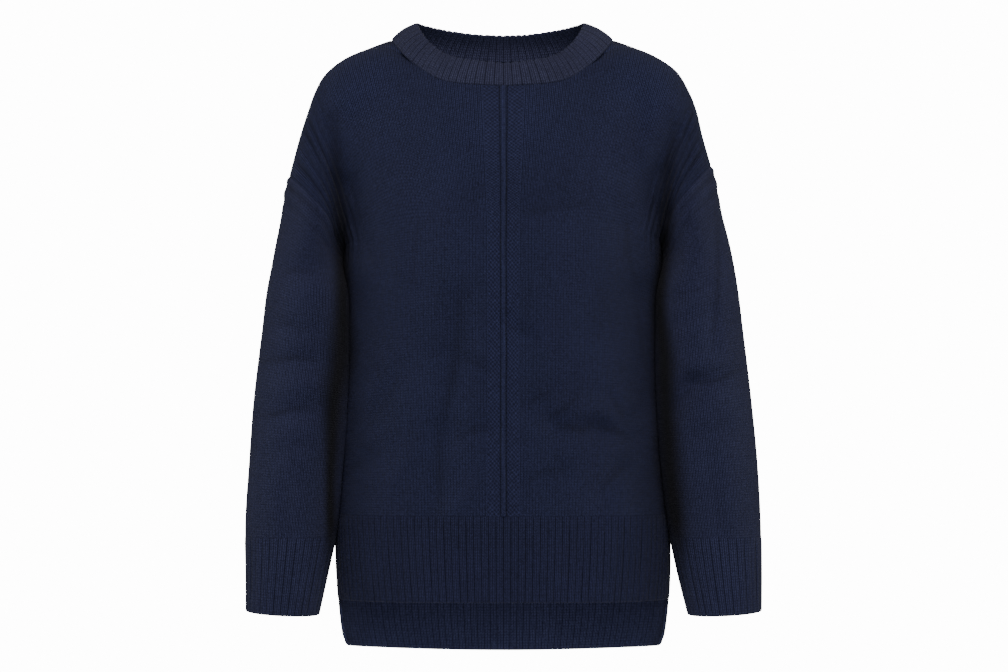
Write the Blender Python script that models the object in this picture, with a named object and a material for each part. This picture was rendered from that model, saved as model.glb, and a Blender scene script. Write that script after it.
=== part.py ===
"""Knit sweater, hollow as worn: two panels, two sleeves, neckband, hem ribs and cuffs.

Metres, +Z up, the front faces -Y. The origin is the middle of the shoulder line, where the
wearer holds the garment. Every piece is a wall of cloth worked out from the tables below.
A row of cloth runs around the body (a course) and a column runs down it (a wale).
"""

import bpy
import bmesh
import numpy as np

# ---- driving sizes -------------------------------------------------------------------------
WALL = 0.0025            # thickness of the knitted cloth
SQUEEZED_WALL = 0.0011   # the same in the fold under an arm
RIB_RELIEF = 0.0012      # how far a rib stands out of a hem, cuff or neckband
SEAM_GAP = 0.0004        # space left between two pieces that are sewn together
NECK_GAP = 0.0008        # the same along the neckband, whose seam turns tightly
HALF_FLAT = 0.312        # half width of a body panel laid flat
NECK_SHARE = 0.39        # part of that half width which ends at the neckband
SHOULDER_ROUND = 0.050   # radius of the shoulder fold, seen from the side
NAPE = {"front": 0.000, "back": 0.050}  # height at X = 0 that the shoulder folds would run up to
ARMHOLE_MIDDLE = {"left": -0.1710, "right": -0.1615}   # height of the seam in front of the arm
ARMHOLE_SLOPE = {"left": 0.0320, "right": 0.0340}      # how far it rises outward and dips inward
UNDERARM_DIP = 0.025     # how much farther it dips at the underarm
UNDERARM_ROW = 0.38      # share of a panel's rows above the underarm
UNDERARM_MIDDLE = -0.190  # height at the centre of the row that passes under the arms
PANEL_END = {"middle": -0.506, "side": -0.510}         # where the stockinette ends
FRONT_HEM = {"middle": -0.598, "side": -0.604}         # lower edge in front
BACK_HEM = {"middle": -0.671, "side": -0.656}          # lower edge behind
BACK_CORNER = 0.020      # rise of the rounded corners of the back hem
CUFF_TOP = -0.532
CUFF_END = {"outer": -0.6140, "inner": -0.6185}
TORSO_SQUARENESS = 2.2   # 2 is an ellipse, more is squarer
TORSO_GIRTH = (0.172, 0.105)  # half width and depth that set how the columns are spaced around it
SLEEVE_CLEARANCE = 0.0014  # least space between a sleeve and the body that it hangs against
PRESS_SOFTNESS = 0.0026    # how gradually a sleeve flattens there
PRESSED_FROM = 0.071       # share of a sleeve's length below which it is flattened in full
CREASED_FROM = 0.125       # the same for its folds
NORMAL_ROUNDS = 2        # how often the directions of a wall's thickness are averaged
BLEND_SHARPNESS = 5.0    # how tightly the shoulder and the chest flow together
YOKE = (-0.160, 0.080)   # height where the chest starts to turn into the shoulder, and over how much
ARM_START = (-0.245, 0.050)  # the same where the arm starts to show in the panels
SHOULDER_REACH = 0.090   # how far below its fold the shoulder is still round
FULL_FOLD = 0.040        # depth of the body from which its folds have their whole height
OUTLINE_SLACK = 0.00003  # how far the straight pieces of the outline lie off its curve
SQUEEZED_REACH = (0.030, 0.070)  # distances from the underarm between which the cloth gets thick
ARMHOLE_PULL = 0.70      # share of a panel's width beyond which its columns bend to the armhole
NECK_BULGE = 0.0025      # how far the middle of the neckband rounds out
NECK_WIDTH = {"seam": (1.010, 0.988), "rim": (1.000, 0.930)}  # left and right, times the table's X
CENTRE_RIB = (0.0022, 0.0048, 0.0090)    # from X = 0: edge of the raised rib, groove, end of it
CENTRE_RELIEF = (0.0016, -0.0005)        # heights of that rib and of its groove
FRONT_WALES = (10, 12)   # columns on each half of the front: below the neckband, below the shoulder
FRONT_COURSES = (10, 12)  # rows above and below the underarm
BACK_WALES = (8, 9)
BACK_COURSES = (8, 12)
SLEEVE_COURSES = 17
HEM_RIBS = 60
CUFF_RIBS = 32
NECK_RIBS = 76
RIB_COURSES = 2          # rows of a hem or cuff
NECK_COURSES = 3

# ---- tables --------------------------------------------------------------------------------
# The body without its arms: half widths left and right of X = 0, depths before and behind Y = 0,
# and the Y at which it is widest, where the side seams run.
TORSO = {"columns": ("z", "left", "right", "front", "back", "seam_y"), "rows": (
    (0.030, 0.150, 0.150, 0.062, 0.060, 0.000),
    (-0.040, 0.162, 0.160, 0.082, 0.080, 0.000),
    (-0.100, 0.172, 0.168, 0.099, 0.091, 0.000),
    (-0.170, 0.177, 0.172, 0.114, 0.094, 0.000),
    (-0.225, 0.175, 0.174, 0.119, 0.090, 0.000),
    (-0.240, 0.176, 0.174, 0.118, 0.088, 0.000),
    (-0.270, 0.174, 0.171, 0.116, 0.085, 0.006),
    (-0.320, 0.175, 0.171, 0.111, 0.081, 0.010),
    (-0.390, 0.179, 0.173, 0.108, 0.084, 0.012),
    (-0.440, 0.182, 0.176, 0.109, 0.090, 0.012),
    (-0.510, 0.185, 0.182, 0.111, 0.096, 0.012),
    (-0.600, 0.182, 0.182, 0.109, 0.098, 0.012),
    (-0.640, 0.178, 0.178, 0.107, 0.098, 0.014),
    (-0.670, 0.172, 0.172, 0.105, 0.098, 0.016))}

# The arms: outer and inner edge from X = 0, half depth, and how far they hang forward.
ARMS = {"columns": ("z", "left_out", "left_in", "right_out", "right_in", "depth", "forward"), "rows": (
    (-0.070, 0.2155, 0.1250, 0.2125, 0.1250, 0.056, 0.000),
    (-0.135, 0.2345, 0.1420, 0.2300, 0.1420, 0.058, 0.000),
    (-0.180, 0.2435, 0.1600, 0.2400, 0.1600, 0.060, 0.000),
    (-0.222, 0.2520, 0.1770, 0.2505, 0.1770, 0.061, 0.000),
    (-0.240, 0.2553, 0.1745, 0.2540, 0.1740, 0.061, 0.000),
    (-0.260, 0.2590, 0.1640, 0.2570, 0.1620, 0.061, 0.004),
    (-0.310, 0.2650, 0.1620, 0.2630, 0.1610, 0.060, 0.008),
    (-0.390, 0.2740, 0.1650, 0.2720, 0.1640, 0.058, 0.014),
    (-0.450, 0.2780, 0.1710, 0.2775, 0.1690, 0.055, 0.018),
    (-0.520, 0.2820, 0.1800, 0.2810, 0.1790, 0.051, 0.022),
    (-0.570, 0.2810, 0.1905, 0.2815, 0.1890, 0.046, 0.025),
    (-0.620, 0.2805, 0.2015, 0.2810, 0.2015, 0.040, 0.028))}

# The shoulder fold from the neckband to the top of the armhole, by its share of that length.
SHOULDER = {"columns": ("share", "left_x", "left_z", "right_x", "right_z"), "rows": (
    (0.00, 0.1235, 0.0110, 0.1205, 0.0110),
    (0.13, 0.1483, 0.0017, 0.1440, 0.0025),
    (0.27, 0.1747, -0.0099, 0.1680, -0.0080),
    (0.40, 0.1953, -0.0264, 0.1900, -0.0235),
    (0.54, 0.2074, -0.0468, 0.2040, -0.0460),
    (0.67, 0.2154, -0.0693, 0.2120, -0.0660),
    (0.84, 0.2250, -0.0997, 0.2190, -0.0955),
    (1.00, 0.2354, -0.1390, 0.2280, -0.1275))}

# The neckband from the front middle (0 degrees) over the shoulder (90) to the back middle (180).
NECK = {"columns": ("angle", "seam_x", "seam_y", "seam_z", "rim_x", "rim_y", "rim_z"), "rows": (
    (0.0, 0.000, -0.076, -0.046, 0.000, -0.062, -0.0200),
    (30.0, 0.062, -0.070, -0.040, 0.052, -0.056, -0.0130),
    (55.0, 0.091, -0.056, -0.024, 0.075, -0.044, 0.0000),
    (75.0, 0.111, -0.037, -0.005, 0.089, -0.027, 0.0165),
    (90.0, 0.122, 0.000, 0.011, 0.095, 0.000, 0.0290),
    (110.0, 0.112, 0.031, 0.007, 0.088, 0.024, 0.0300),
    (135.0, 0.082, 0.056, 0.000, 0.066, 0.043, 0.0270),
    (160.0, 0.038, 0.073, -0.004, 0.030, 0.057, 0.0235),
    (180.0, 0.000, 0.076, -0.006, 0.000, 0.060, 0.0225))}

# Soft ridges (height above 0) and troughs (below 0), each along a straight line seen from the front.
FOLDS = {"columns": ("face", "x0", "z0", "x1", "z1", "width", "height"), "rows": (
    ("front", -0.183, -0.085, -0.174, -0.150, 0.015, -0.006),
    ("front", -0.174, -0.150, -0.167, -0.190, 0.015, -0.006),
    ("front", 0.184, -0.095, 0.173, -0.140, 0.015, -0.006),
    ("front", 0.173, -0.140, 0.166, -0.180, 0.015, -0.006),
    ("front", 0.160, -0.085, 0.152, -0.200, 0.012, 0.004),
    ("front", -0.043, -0.275, -0.064, -0.412, 0.020, -0.004),
    ("front", -0.064, -0.412, -0.071, -0.510, 0.018, -0.004),
    ("front", 0.129, -0.184, 0.144, -0.266, 0.016, -0.004),
    ("front", 0.144, -0.266, 0.157, -0.385, 0.016, -0.004),
    ("front", 0.057, -0.412, 0.098, -0.412, 0.014, -0.005),
    ("front", 0.098, -0.412, 0.139, -0.424, 0.014, -0.005),
    ("front", 0.060, -0.390, 0.120, -0.396, 0.018, 0.004),
    ("front", 0.106, -0.480, 0.134, -0.449, 0.014, -0.004),
    ("front", 0.026, -0.390, 0.052, -0.371, 0.014, -0.003),
    ("front", -0.171, -0.466, -0.149, -0.445, 0.014, -0.004),
    ("front", -0.053, -0.421, -0.012, -0.412, 0.014, -0.003),
    ("front", 0.006, -0.179, 0.106, -0.175, 0.016, -0.002),
    ("front", 0.075, -0.560, 0.100, -0.508, 0.018, -0.003),
    ("back", -0.120, -0.180, -0.060, -0.270, 0.020, -0.005),
    ("back", 0.125, -0.170, 0.055, -0.285, 0.020, -0.005),
    ("back", -0.110, -0.330, -0.020, -0.352, 0.018, -0.005),
    ("back", 0.020, -0.365, 0.115, -0.338, 0.018, -0.006),
    ("back", -0.130, -0.425, -0.045, -0.400, 0.018, -0.004),
    ("back", 0.050, -0.455, 0.130, -0.420, 0.018, -0.004),
    ("left_front", -0.240, -0.248, -0.198, -0.241, 0.014, -0.004),
    ("left_front", -0.262, -0.339, -0.198, -0.341, 0.014, -0.005),
    ("left_front", -0.262, -0.400, -0.198, -0.392, 0.014, -0.005),
    ("left_front", -0.262, -0.370, -0.205, -0.366, 0.013, 0.003),
    ("left_back", -0.250, -0.300, -0.200, -0.322, 0.015, -0.004),
    ("left_back", -0.262, -0.395, -0.200, -0.372, 0.015, -0.005),
    ("right_front", 0.233, -0.170, 0.227, -0.325, 0.012, -0.004),
    ("right_front", 0.184, -0.275, 0.216, -0.258, 0.012, -0.004),
    ("right_front", 0.184, -0.394, 0.203, -0.366, 0.012, -0.006),
    ("right_front", 0.203, -0.366, 0.258, -0.353, 0.012, -0.006),
    ("right_front", 0.200, -0.348, 0.250, -0.333, 0.012, 0.003),
    ("right_back", 0.200, -0.310, 0.250, -0.290, 0.015, -0.004),
    ("right_back", 0.198, -0.372, 0.262, -0.400, 0.015, -0.005))}

# Cloth colours of the yarn as it shows on each piece: red, green, blue in linear light.
YARN = {"panel": (0.0125, 0.0165, 0.0390), "sleeve": (0.0140, 0.0185, 0.0430),
        "rib": (0.0110, 0.0140, 0.0330), "neckband": (0.0180, 0.0225, 0.0480)}
YARN_ROUGHNESS = 0.9

SIGN = {"left": -1.0, "right": 1.0}
FACE = {"front": -1.0, "back": 1.0}


# ---- reading the tables --------------------------------------------------------------------
def look_up(table, name, at):
    """Value of a named column at a place of the first one, eased through the rows."""
    place = table["columns"].index(name)
    rows = sorted(table["rows"])
    keys = np.array([row[0] for row in rows])
    values = np.array([row[place] for row in rows])
    slopes = np.gradient(values, keys)
    at = np.clip(np.asarray(at, dtype=float), keys[0], keys[-1])
    index = np.clip(np.searchsorted(keys, at) - 1, 0, len(keys) - 2)
    span = keys[index + 1] - keys[index]
    share = (at - keys[index]) / span
    rise = values[index + 1] - values[index]
    ease = share * share * (3.0 - 2.0 * share)
    start = share * (1.0 - share) ** 2 * span * slopes[index]
    end = share * share * (share - 1.0) * span * slopes[index + 1]
    return values[index] + rise * ease + start + end


def smooth_step(value):
    value = np.clip(value, 0.0, 1.0)
    return value * value * (3.0 - 2.0 * value)


def by_side(sign, left, right):
    """Takes the left value where the sign is negative and the right one elsewhere."""
    return np.where(sign < 0.0, left, right)


def stack(x, y, z):
    return np.stack(np.broadcast_arrays(x, y, z), axis=-1)


def unit(vectors):
    length = np.linalg.norm(vectors, axis=-1, keepdims=True)
    return vectors / np.maximum(length, 1e-9)


def fold_height(face, x, z):
    """Sum of the ridges and troughs of one face at places seen from the front."""
    total = np.zeros(np.broadcast(x, z).shape)
    for name, x0, z0, x1, z1, width, height in FOLDS["rows"]:
        if name != face:
            continue
        run_x = x1 - x0
        run_z = z1 - z0
        along = ((x - x0) * run_x + (z - z0) * run_z) / (run_x ** 2 + run_z ** 2)
        along = np.clip(along, 0.0, 1.0)
        off = (x - x0 - along * run_x) ** 2 + (z - z0 - along * run_z) ** 2
        total = total + height * np.exp(-off / width ** 2)
    return total


# ---- the form under the cloth --------------------------------------------------------------
def shoulder_line(side, share):
    """Points of the shoulder fold, in the plane Y = 0."""
    x = SIGN[side] * look_up(SHOULDER, side + "_x", share)
    z = look_up(SHOULDER, side + "_z", share)
    return x, z


def shoulder_normal(side, share):
    """Outward direction of both panels along the shoulder fold."""
    x0, z0 = shoulder_line(side, np.maximum(share - 0.01, 0.0))
    x1, z1 = shoulder_line(side, np.minimum(share + 0.01, 1.0))
    return unit(stack(z0 - z1, 0.0, x1 - x0)) * SIGN[side]


def outline(face, side):
    """Shoulder fold from the middle of the neck outward, then the outer edge of the upper arm."""
    fold_x, fold_z = shoulder_line(side, np.linspace(0.0, 1.0, 97))
    arm_z = np.linspace(fold_z[-1], -0.300, 13)[1:]
    arm_x = SIGN[side] * look_up(ARMS, side + "_out", arm_z)
    return np.concatenate(([0.0], fold_x, arm_x)), np.concatenate(([NAPE[face]], fold_z, arm_z))


def inside_outline(face, sign, x, z):
    """Distance from the outline of the shoulder and the arm, seen from the front."""
    nearest = np.full(np.broadcast(x, z).shape, 1.0)
    for side in ("left", "right"):
        line_x, line_z = outline(face, side)
        for x0, z0, x1, z1 in zip(line_x, line_z, line_x[1:], line_z[1:]):
            run_x = x1 - x0
            run_z = z1 - z0
            along = ((x - x0) * run_x + (z - z0) * run_z) / (run_x ** 2 + run_z ** 2)
            along = np.clip(along, 0.0, 1.0)
            off = np.hypot(x - x0 - along * run_x, z - z0 - along * run_z)
            nearest = np.where(SIGN[side] == sign, np.minimum(nearest, off), nearest)
    return nearest


def arm_section(side, z):
    """Middle, half width, half depth and forward lean of an arm at a height."""
    outer = look_up(ARMS, side + "_out", z)
    inner = look_up(ARMS, side + "_in", z)
    depth = look_up(ARMS, "depth", z)
    forward = look_up(ARMS, "forward", z)
    return (outer + inner) / 2.0, (outer - inner) / 2.0, depth, forward


def torso_half(sign, z):
    return by_side(sign, look_up(TORSO, "left", z), look_up(TORSO, "right", z))


def torso_depth(face, z):
    """Depth of the torso before or behind its side seams."""
    return look_up(TORSO, face, z) - FACE[face] * look_up(TORSO, "seam_y", z)


def depth_at(face, sign, x, z):
    """Depth of the body's surface before or behind the plane of its side seams."""
    inside = np.clip(1.0 - (np.abs(x) / torso_half(sign, z)) ** TORSO_SQUARENESS, 0.0, 1.0)
    torso = torso_depth(face, z) * inside ** (1.0 / TORSO_SQUARENESS)
    below = np.maximum(inside_outline(face, sign, x, z) - OUTLINE_SLACK, 0.0)
    high = smooth_step((z - YOKE[0]) / YOKE[1])
    rounding = np.sqrt(1.0 - (1.0 - np.clip(below / SHOULDER_REACH, 0.0, 1.0)) ** 2)
    torso = torso * (1.0 - high + high * rounding)
    left = arm_section("left", z)
    right = arm_section("right", z)
    width = by_side(sign, left[1], right[1])
    width = width + (SHOULDER_ROUND - width) * high
    across = 1.0 - below / width
    across = np.where(across < 0.0, across * (1.0 - high), across)
    arm = left[2] * np.sqrt(np.clip(1.0 - across ** 2, 0.0, 1.0))
    arm = arm * smooth_step((z - ARM_START[0]) / ARM_START[1])
    both = (torso ** BLEND_SHARPNESS + arm ** BLEND_SHARPNESS) ** (1.0 / BLEND_SHARPNESS)
    return both + fold_height(face, x, z) * smooth_step(both / FULL_FOLD)


def torso_angle(share):
    """Angle on the squared ellipse of the torso at a share of its length from front to side."""
    angles = np.linspace(0.0, np.pi / 2.0, 181)
    power = 2.0 / TORSO_SQUARENESS
    x = TORSO_GIRTH[0] * np.sin(angles) ** power
    y = TORSO_GIRTH[1] * np.cos(angles) ** power
    length = np.concatenate(([0.0], np.cumsum(np.hypot(np.diff(x), np.diff(y)))))
    return np.interp(share, length / length[-1], angles)


def armhole_height(side, turn):
    """Height of the seam around the arm: 0 is its outer top, half a turn is the underarm."""
    inward = (1.0 - np.cos(turn)) / 2.0
    return ARMHOLE_MIDDLE[side] + ARMHOLE_SLOPE[side] * np.cos(turn) - UNDERARM_DIP * inward ** 5


def armhole(side, turn):
    """Points of the seam around the arm."""
    z = armhole_height(side, turn)
    middle, width, depth, forward = arm_section(side, z)
    x = SIGN[side] * (middle + width * np.cos(turn))
    return stack(x, -forward - depth * np.sin(turn), z)


def armhole_normal(side, turn):
    """Outward direction of both pieces at that seam: sideways on top and down under the arm."""
    x = SIGN[side] * np.clip(np.cos(turn), 0.0, 1.0)
    return unit(stack(x, -np.sin(turn), 0.4 * (np.cos(turn) - 1.0)))


def wall_thickness(points):
    """Thickness of the cloth, which is squeezed in the fold under each arm."""
    nearest = np.full(points.shape[:-1], 1.0)
    for side in ("left", "right"):
        nearest = np.minimum(nearest, np.linalg.norm(points - armhole(side, np.pi), axis=-1))
    near, far = SQUEEZED_REACH
    return SQUEEZED_WALL + (WALL - SQUEEZED_WALL) * smooth_step((nearest - near) / (far - near))


def neck_point(angle, edge):
    """Point of the neckband's seam or rim; angles run from the front middle, left is negative."""
    place = np.abs(angle)
    x = np.sign(angle) * by_side(angle, *NECK_WIDTH[edge]) * look_up(NECK, edge + "_x", place)
    return stack(x, look_up(NECK, edge + "_y", place), look_up(NECK, edge + "_z", place))


def neck_normal(angle):
    """Outward direction of the neckband, in the plane Y = 0 where it meets the shoulder folds."""
    rise = neck_point(angle, "rim") - neck_point(angle, "seam")
    length = neck_point(angle + 1.0, "seam") - neck_point(angle - 1.0, "seam")
    normal = np.cross(length, rise)
    normal[..., 1] = normal[..., 1] * (1.0 - np.exp(-((np.abs(angle) - 90.0) / 8.0) ** 2))
    return unit(normal)


# ---- body panels ---------------------------------------------------------------------------
def neck_angle(face, share):
    """Angle on the neckband above a column, so that the columns start evenly spaced."""
    angles = np.linspace(0.0, 90.0, 91) if face == "front" else np.linspace(180.0, 90.0, 91)
    x = look_up(NECK, "seam_x", angles)
    return np.interp(share * x[-1], x, angles)


def top_point(face, sign, share):
    """Upper end of a column: on the neckband or on the shoulder fold."""
    on_neck = neck_point(sign * neck_angle(face, np.clip(share / NECK_SHARE, 0.0, 1.0)), "seam")
    along = np.clip((share - NECK_SHARE) / (1.0 - NECK_SHARE), 0.0, 1.0)
    left_x, left_z = shoulder_line("left", along)
    right_x, right_z = shoulder_line("right", along)
    on_fold = stack(by_side(sign, left_x, right_x), 0.0, by_side(sign, left_z, right_z))
    return np.where((share <= NECK_SHARE)[..., None], on_neck, on_fold)


def row_height(face, sign, share, row):
    """Height of a row below the underarm, and of the rows of the hem (past 1)."""
    side = by_side(sign, armhole_height("left", np.pi), armhole_height("right", np.pi))
    under = UNDERARM_MIDDLE + (side - UNDERARM_MIDDLE) * share ** 3
    end = PANEL_END["middle"] + (PANEL_END["side"] - PANEL_END["middle"]) * share ** 2
    hem = FRONT_HEM if face == "front" else BACK_HEM
    low = hem["middle"] + (hem["side"] - hem["middle"]) * share ** 2
    if face == "back":
        low = low + BACK_CORNER * np.clip((share - 0.92) / 0.08, 0.0, 1.0) ** 2
    on_panel = under + (end - under) * (row - UNDERARM_ROW) / (1.0 - UNDERARM_ROW)
    on_hem = end + (low - end) * (row - 1.0)
    return np.where(row <= 1.0, on_panel, on_hem)


def section_x(sign, z, share):
    return sign * torso_half(sign, z) * np.sin(torso_angle(share)) ** (2.0 / TORSO_SQUARENESS)


def on_body(face, sign, x, z):
    """Point of the body's surface, before or behind a place seen from the front."""
    return stack(x, look_up(TORSO, "seam_y", z) + FACE[face] * depth_at(face, sign, x, z), z)


def free_point(face, sign, share, row):
    """Surface of a panel before its outer columns are brought onto the armhole."""
    top = top_point(face, sign, share)
    under_z = row_height(face, sign, share, np.full(share.shape, UNDERARM_ROW))
    under_x = section_x(sign, under_z, share)
    part = np.clip(row / UNDERARM_ROW, 0.0, 1.0)
    rounded = 1.0 - np.cos(part * np.pi / 2.0)
    inward = (1.0 - np.cos(part * np.pi)) / 2.0
    late = 2.0 * ARMHOLE_SLOPE["left"] * inward + UNDERARM_DIP * inward ** 5
    late = late / (2.0 * ARMHOLE_SLOPE["left"] + UNDERARM_DIP)
    outward = np.clip((share - NECK_SHARE) / (1.0 - NECK_SHARE), 0.0, 1.0)
    from_neck = part + (rounded - part) * np.clip(share / NECK_SHARE, 0.0, 1.0) ** 3
    across = np.where(share < NECK_SHARE, from_neck, rounded + (inward - rounded) * outward)
    down = np.where(share < NECK_SHARE, from_neck, rounded + (late - rounded) * outward)
    low_z = row_height(face, sign, share, np.maximum(row, UNDERARM_ROW))
    above = row < UNDERARM_ROW
    x = np.where(above, top[..., 0] + (under_x - top[..., 0]) * across, section_x(sign, low_z, share))
    z = np.where(above, top[..., 2] + (under_z - top[..., 2]) * down, low_z)
    # The top row lies on the neckband's seam, which eases out over the rows below it.
    lift = top - on_body(face, sign, top[..., 0], top[..., 2])
    return on_body(face, sign, x, z) + lift * ((1.0 - part) ** 3)[..., None]


def outer_edge(face, side, row):
    """Outermost column of a panel: along the armhole, then down the side seam."""
    seam = armhole(side, np.clip(row / UNDERARM_ROW, 0.0, 1.0) * np.pi)
    seam[..., 1] = seam[..., 1] * -FACE[face]
    sign = np.full(row.shape, SIGN[side])
    z = row_height(face, sign, np.ones(row.shape), np.maximum(row, UNDERARM_ROW))
    side_seam = stack(sign * torso_half(sign, z), look_up(TORSO, "seam_y", z), z)
    return np.where((row <= UNDERARM_ROW)[..., None], seam, side_seam)


def body_point(face, column, row):
    """Outer surface of a panel: column -1 to 1 from left to right, row 0 to 1 and on into the hem."""
    column, row = np.broadcast_arrays(np.clip(column, -1.0, 1.0), row)
    sign = np.where(column < 0.0, -1.0, 1.0)
    share = np.abs(column)
    points = free_point(face, sign, share, row)
    pull = np.clip((share - ARMHOLE_PULL) / (1.0 - ARMHOLE_PULL), 0.0, 1.0) ** 2
    outermost = free_point(face, sign, np.ones(row.shape), row)
    for side in ("left", "right"):
        mine = np.where(sign == SIGN[side], pull, 0.0)
        points = points + mine[..., None] * (outer_edge(face, side, row) - outermost)
    return points


def body_normal(face, column, row):
    """Outward direction of a panel, with the directions shared at its seams."""
    step = 0.002
    across = body_point(face, column + step, row) - body_point(face, column - step, row)
    down = body_point(face, column, row + step) - body_point(face, column, np.maximum(row - step, 0.0))
    normal = unit(np.cross(across, down)) * FACE[face]
    column, row = np.broadcast_arrays(column, row)
    share = np.abs(column)
    sign = np.where(column < 0.0, -1.0, 1.0)
    for side in ("left", "right"):
        seam = armhole_normal(side, np.clip(row / UNDERARM_ROW, 0.0, 1.0) * np.pi)
        seam[..., 1] = seam[..., 1] * -FACE[face]
        below = row > UNDERARM_ROW + 1e-6
        seam = np.where(below[..., None], np.array([SIGN[side], 0.0, 0.0]), seam)
        mine = (share > 0.999) & (sign == SIGN[side])
        normal = np.where(mine[..., None], seam, normal)
    on_top = row < 1e-6
    along = np.clip((share - NECK_SHARE) / (1.0 - NECK_SHARE), 0.0, 1.0)
    for side in ("left", "right"):
        on_fold = on_top & (share > NECK_SHARE) & (share <= 0.999) & (sign == SIGN[side])
        normal = np.where(on_fold[..., None], shoulder_normal(side, along), normal)
    band = neck_normal(sign * neck_angle(face, np.clip(share / NECK_SHARE, 0.0, 1.0)))
    on_neck = on_top & (share <= NECK_SHARE)
    return np.where(on_neck[..., None], band, normal)


def evened(normal, is_tube):
    """Averages the outward directions with their neighbours, but for those along the edges."""
    for _ in range(NORMAL_ROUNDS):
        if is_tube:
            beside = np.roll(normal, 1, axis=1) + np.roll(normal, -1, axis=1)
            middle = normal[:-2] + normal[2:] + beside[1:-1] + normal[1:-1]
            normal = np.concatenate((normal[:1], unit(middle), normal[-1:]))
        else:
            middle = normal[:-2, 1:-1] + normal[2:, 1:-1] + normal[1:-1, :-2] + normal[1:-1, 2:]
            middle = unit(middle + normal[1:-1, 1:-1])
            normal = normal.copy()
            normal[1:-1, 1:-1] = middle
    return normal


def panel(face, columns, rows, relief):
    """Outer points, outward directions and relief of a panel or of its hem."""
    column, row = np.meshgrid(columns, rows)
    points = body_point(face, column, row)
    points[..., 1] = points[..., 1] + FACE[face] * SEAM_GAP / 2.0
    return points, evened(body_normal(face, column, row), False), relief


# ---- sleeves and neckband ------------------------------------------------------------------
def pressed(side, x, y, z, amount):
    """Flattens a sleeve against the body, so that it just clears it."""
    off = y - look_up(TORSO, "seam_y", z)
    depth = np.where(off < 0.0, torso_depth("front", z), torso_depth("back", z))
    inside = np.clip(1.0 - (np.abs(off) / depth) ** TORSO_SQUARENESS, 0.0, 1.0)
    limit = torso_half(SIGN[side], z) * inside ** (1.0 / TORSO_SQUARENESS) + SLEEVE_CLEARANCE
    room = np.abs(x) - limit
    room = (room + np.hypot(room, PRESS_SOFTNESS)) / 2.0
    return x + SIGN[side] * (limit + room - np.abs(x)) * amount


def sleeve_point(side, turn, row):
    """Outer surface of a sleeve: row 0 at the armhole, 1 at the cuff's top, 2 at the cuff's end."""
    turn, row = np.broadcast_arrays(turn, row)
    on_sleeve = np.clip(row, 0.0, 1.0)
    middle = ARMHOLE_MIDDLE[side] + (CUFF_TOP - ARMHOLE_MIDDLE[side]) * on_sleeve
    seam = armhole_height(side, turn) - ARMHOLE_MIDDLE[side]
    z = middle + seam * (1.0 - on_sleeve) ** 2
    end = (CUFF_END["outer"] + CUFF_END["inner"]) / 2.0
    end = end + (CUFF_END["outer"] - CUFF_END["inner"]) / 2.0 * np.cos(turn)
    z = z + (end - CUFF_TOP) * np.clip(row - 1.0, 0.0, 1.0)
    centre, width, depth, forward = arm_section(side, z)
    x = SIGN[side] * (centre + width * np.cos(turn))
    face = np.sin(turn)
    relief = np.where(face > 0.0, fold_height(side + "_front", x, z), fold_height(side + "_back", x, z))
    depth = depth + relief * np.abs(face) * smooth_step(on_sleeve / CREASED_FROM)
    y = -forward - depth * face
    return stack(pressed(side, x, y, z, smooth_step(on_sleeve / PRESSED_FROM)), y, z)


def sleeve_normal(side, turn, row):
    step = 0.01
    around = sleeve_point(side, turn + step, row) - sleeve_point(side, turn - step, row)
    down = sleeve_point(side, turn, row + step) - sleeve_point(side, turn, np.maximum(row - step, 0.0))
    normal = unit(np.cross(around, down)) * SIGN[side]
    turn, row = np.broadcast_arrays(turn, row)
    return np.where((row < 1e-6)[..., None], armhole_normal(side, turn), normal)


def sleeve(side, turns, rows, relief):
    """Outer points, outward directions and relief of a sleeve or a cuff."""
    turn, row = np.meshgrid(turns, rows)
    points = sleeve_point(side, turn, row)
    normal = sleeve_normal(side, turn, row)
    if rows[0] == 0.0:
        ahead = sleeve_point(side, turn[0] + 0.01, row[0]) - sleeve_point(side, turn[0] - 0.01, row[0])
        away = unit(np.cross(normal[0], ahead)) * SIGN[side]
        points[0] = points[0] + away * SEAM_GAP
    return points, evened(normal, True), relief


def neckband(angles, rows, relief):
    """Outer points of the neckband, bulging a little between its seam and its rim."""
    angle, row = np.meshgrid(angles, rows)
    seam = neck_point(angle, "seam")
    rim = neck_point(angle, "rim")
    normal = neck_normal(angle)
    seam = seam + unit(rim - seam) * NECK_GAP
    points = seam + (rim - seam) * row[..., None]
    points = points + normal * (NECK_BULGE * np.sin(row * np.pi))[..., None]
    return points, normal, relief


# ---- walls and objects ---------------------------------------------------------------------
def cloth_material(name):
    material = bpy.data.materials.new(name)
    material.use_nodes = True
    shader = material.node_tree.nodes["Principled BSDF"]
    shader.inputs["Base Color"].default_value = (*YARN[name], 1.0)
    shader.inputs["Roughness"].default_value = YARN_ROUGHNESS
    shader.inputs["Metallic"].default_value = 0.0
    material.diffuse_color = (*YARN[name], 1.0)
    return material


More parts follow.
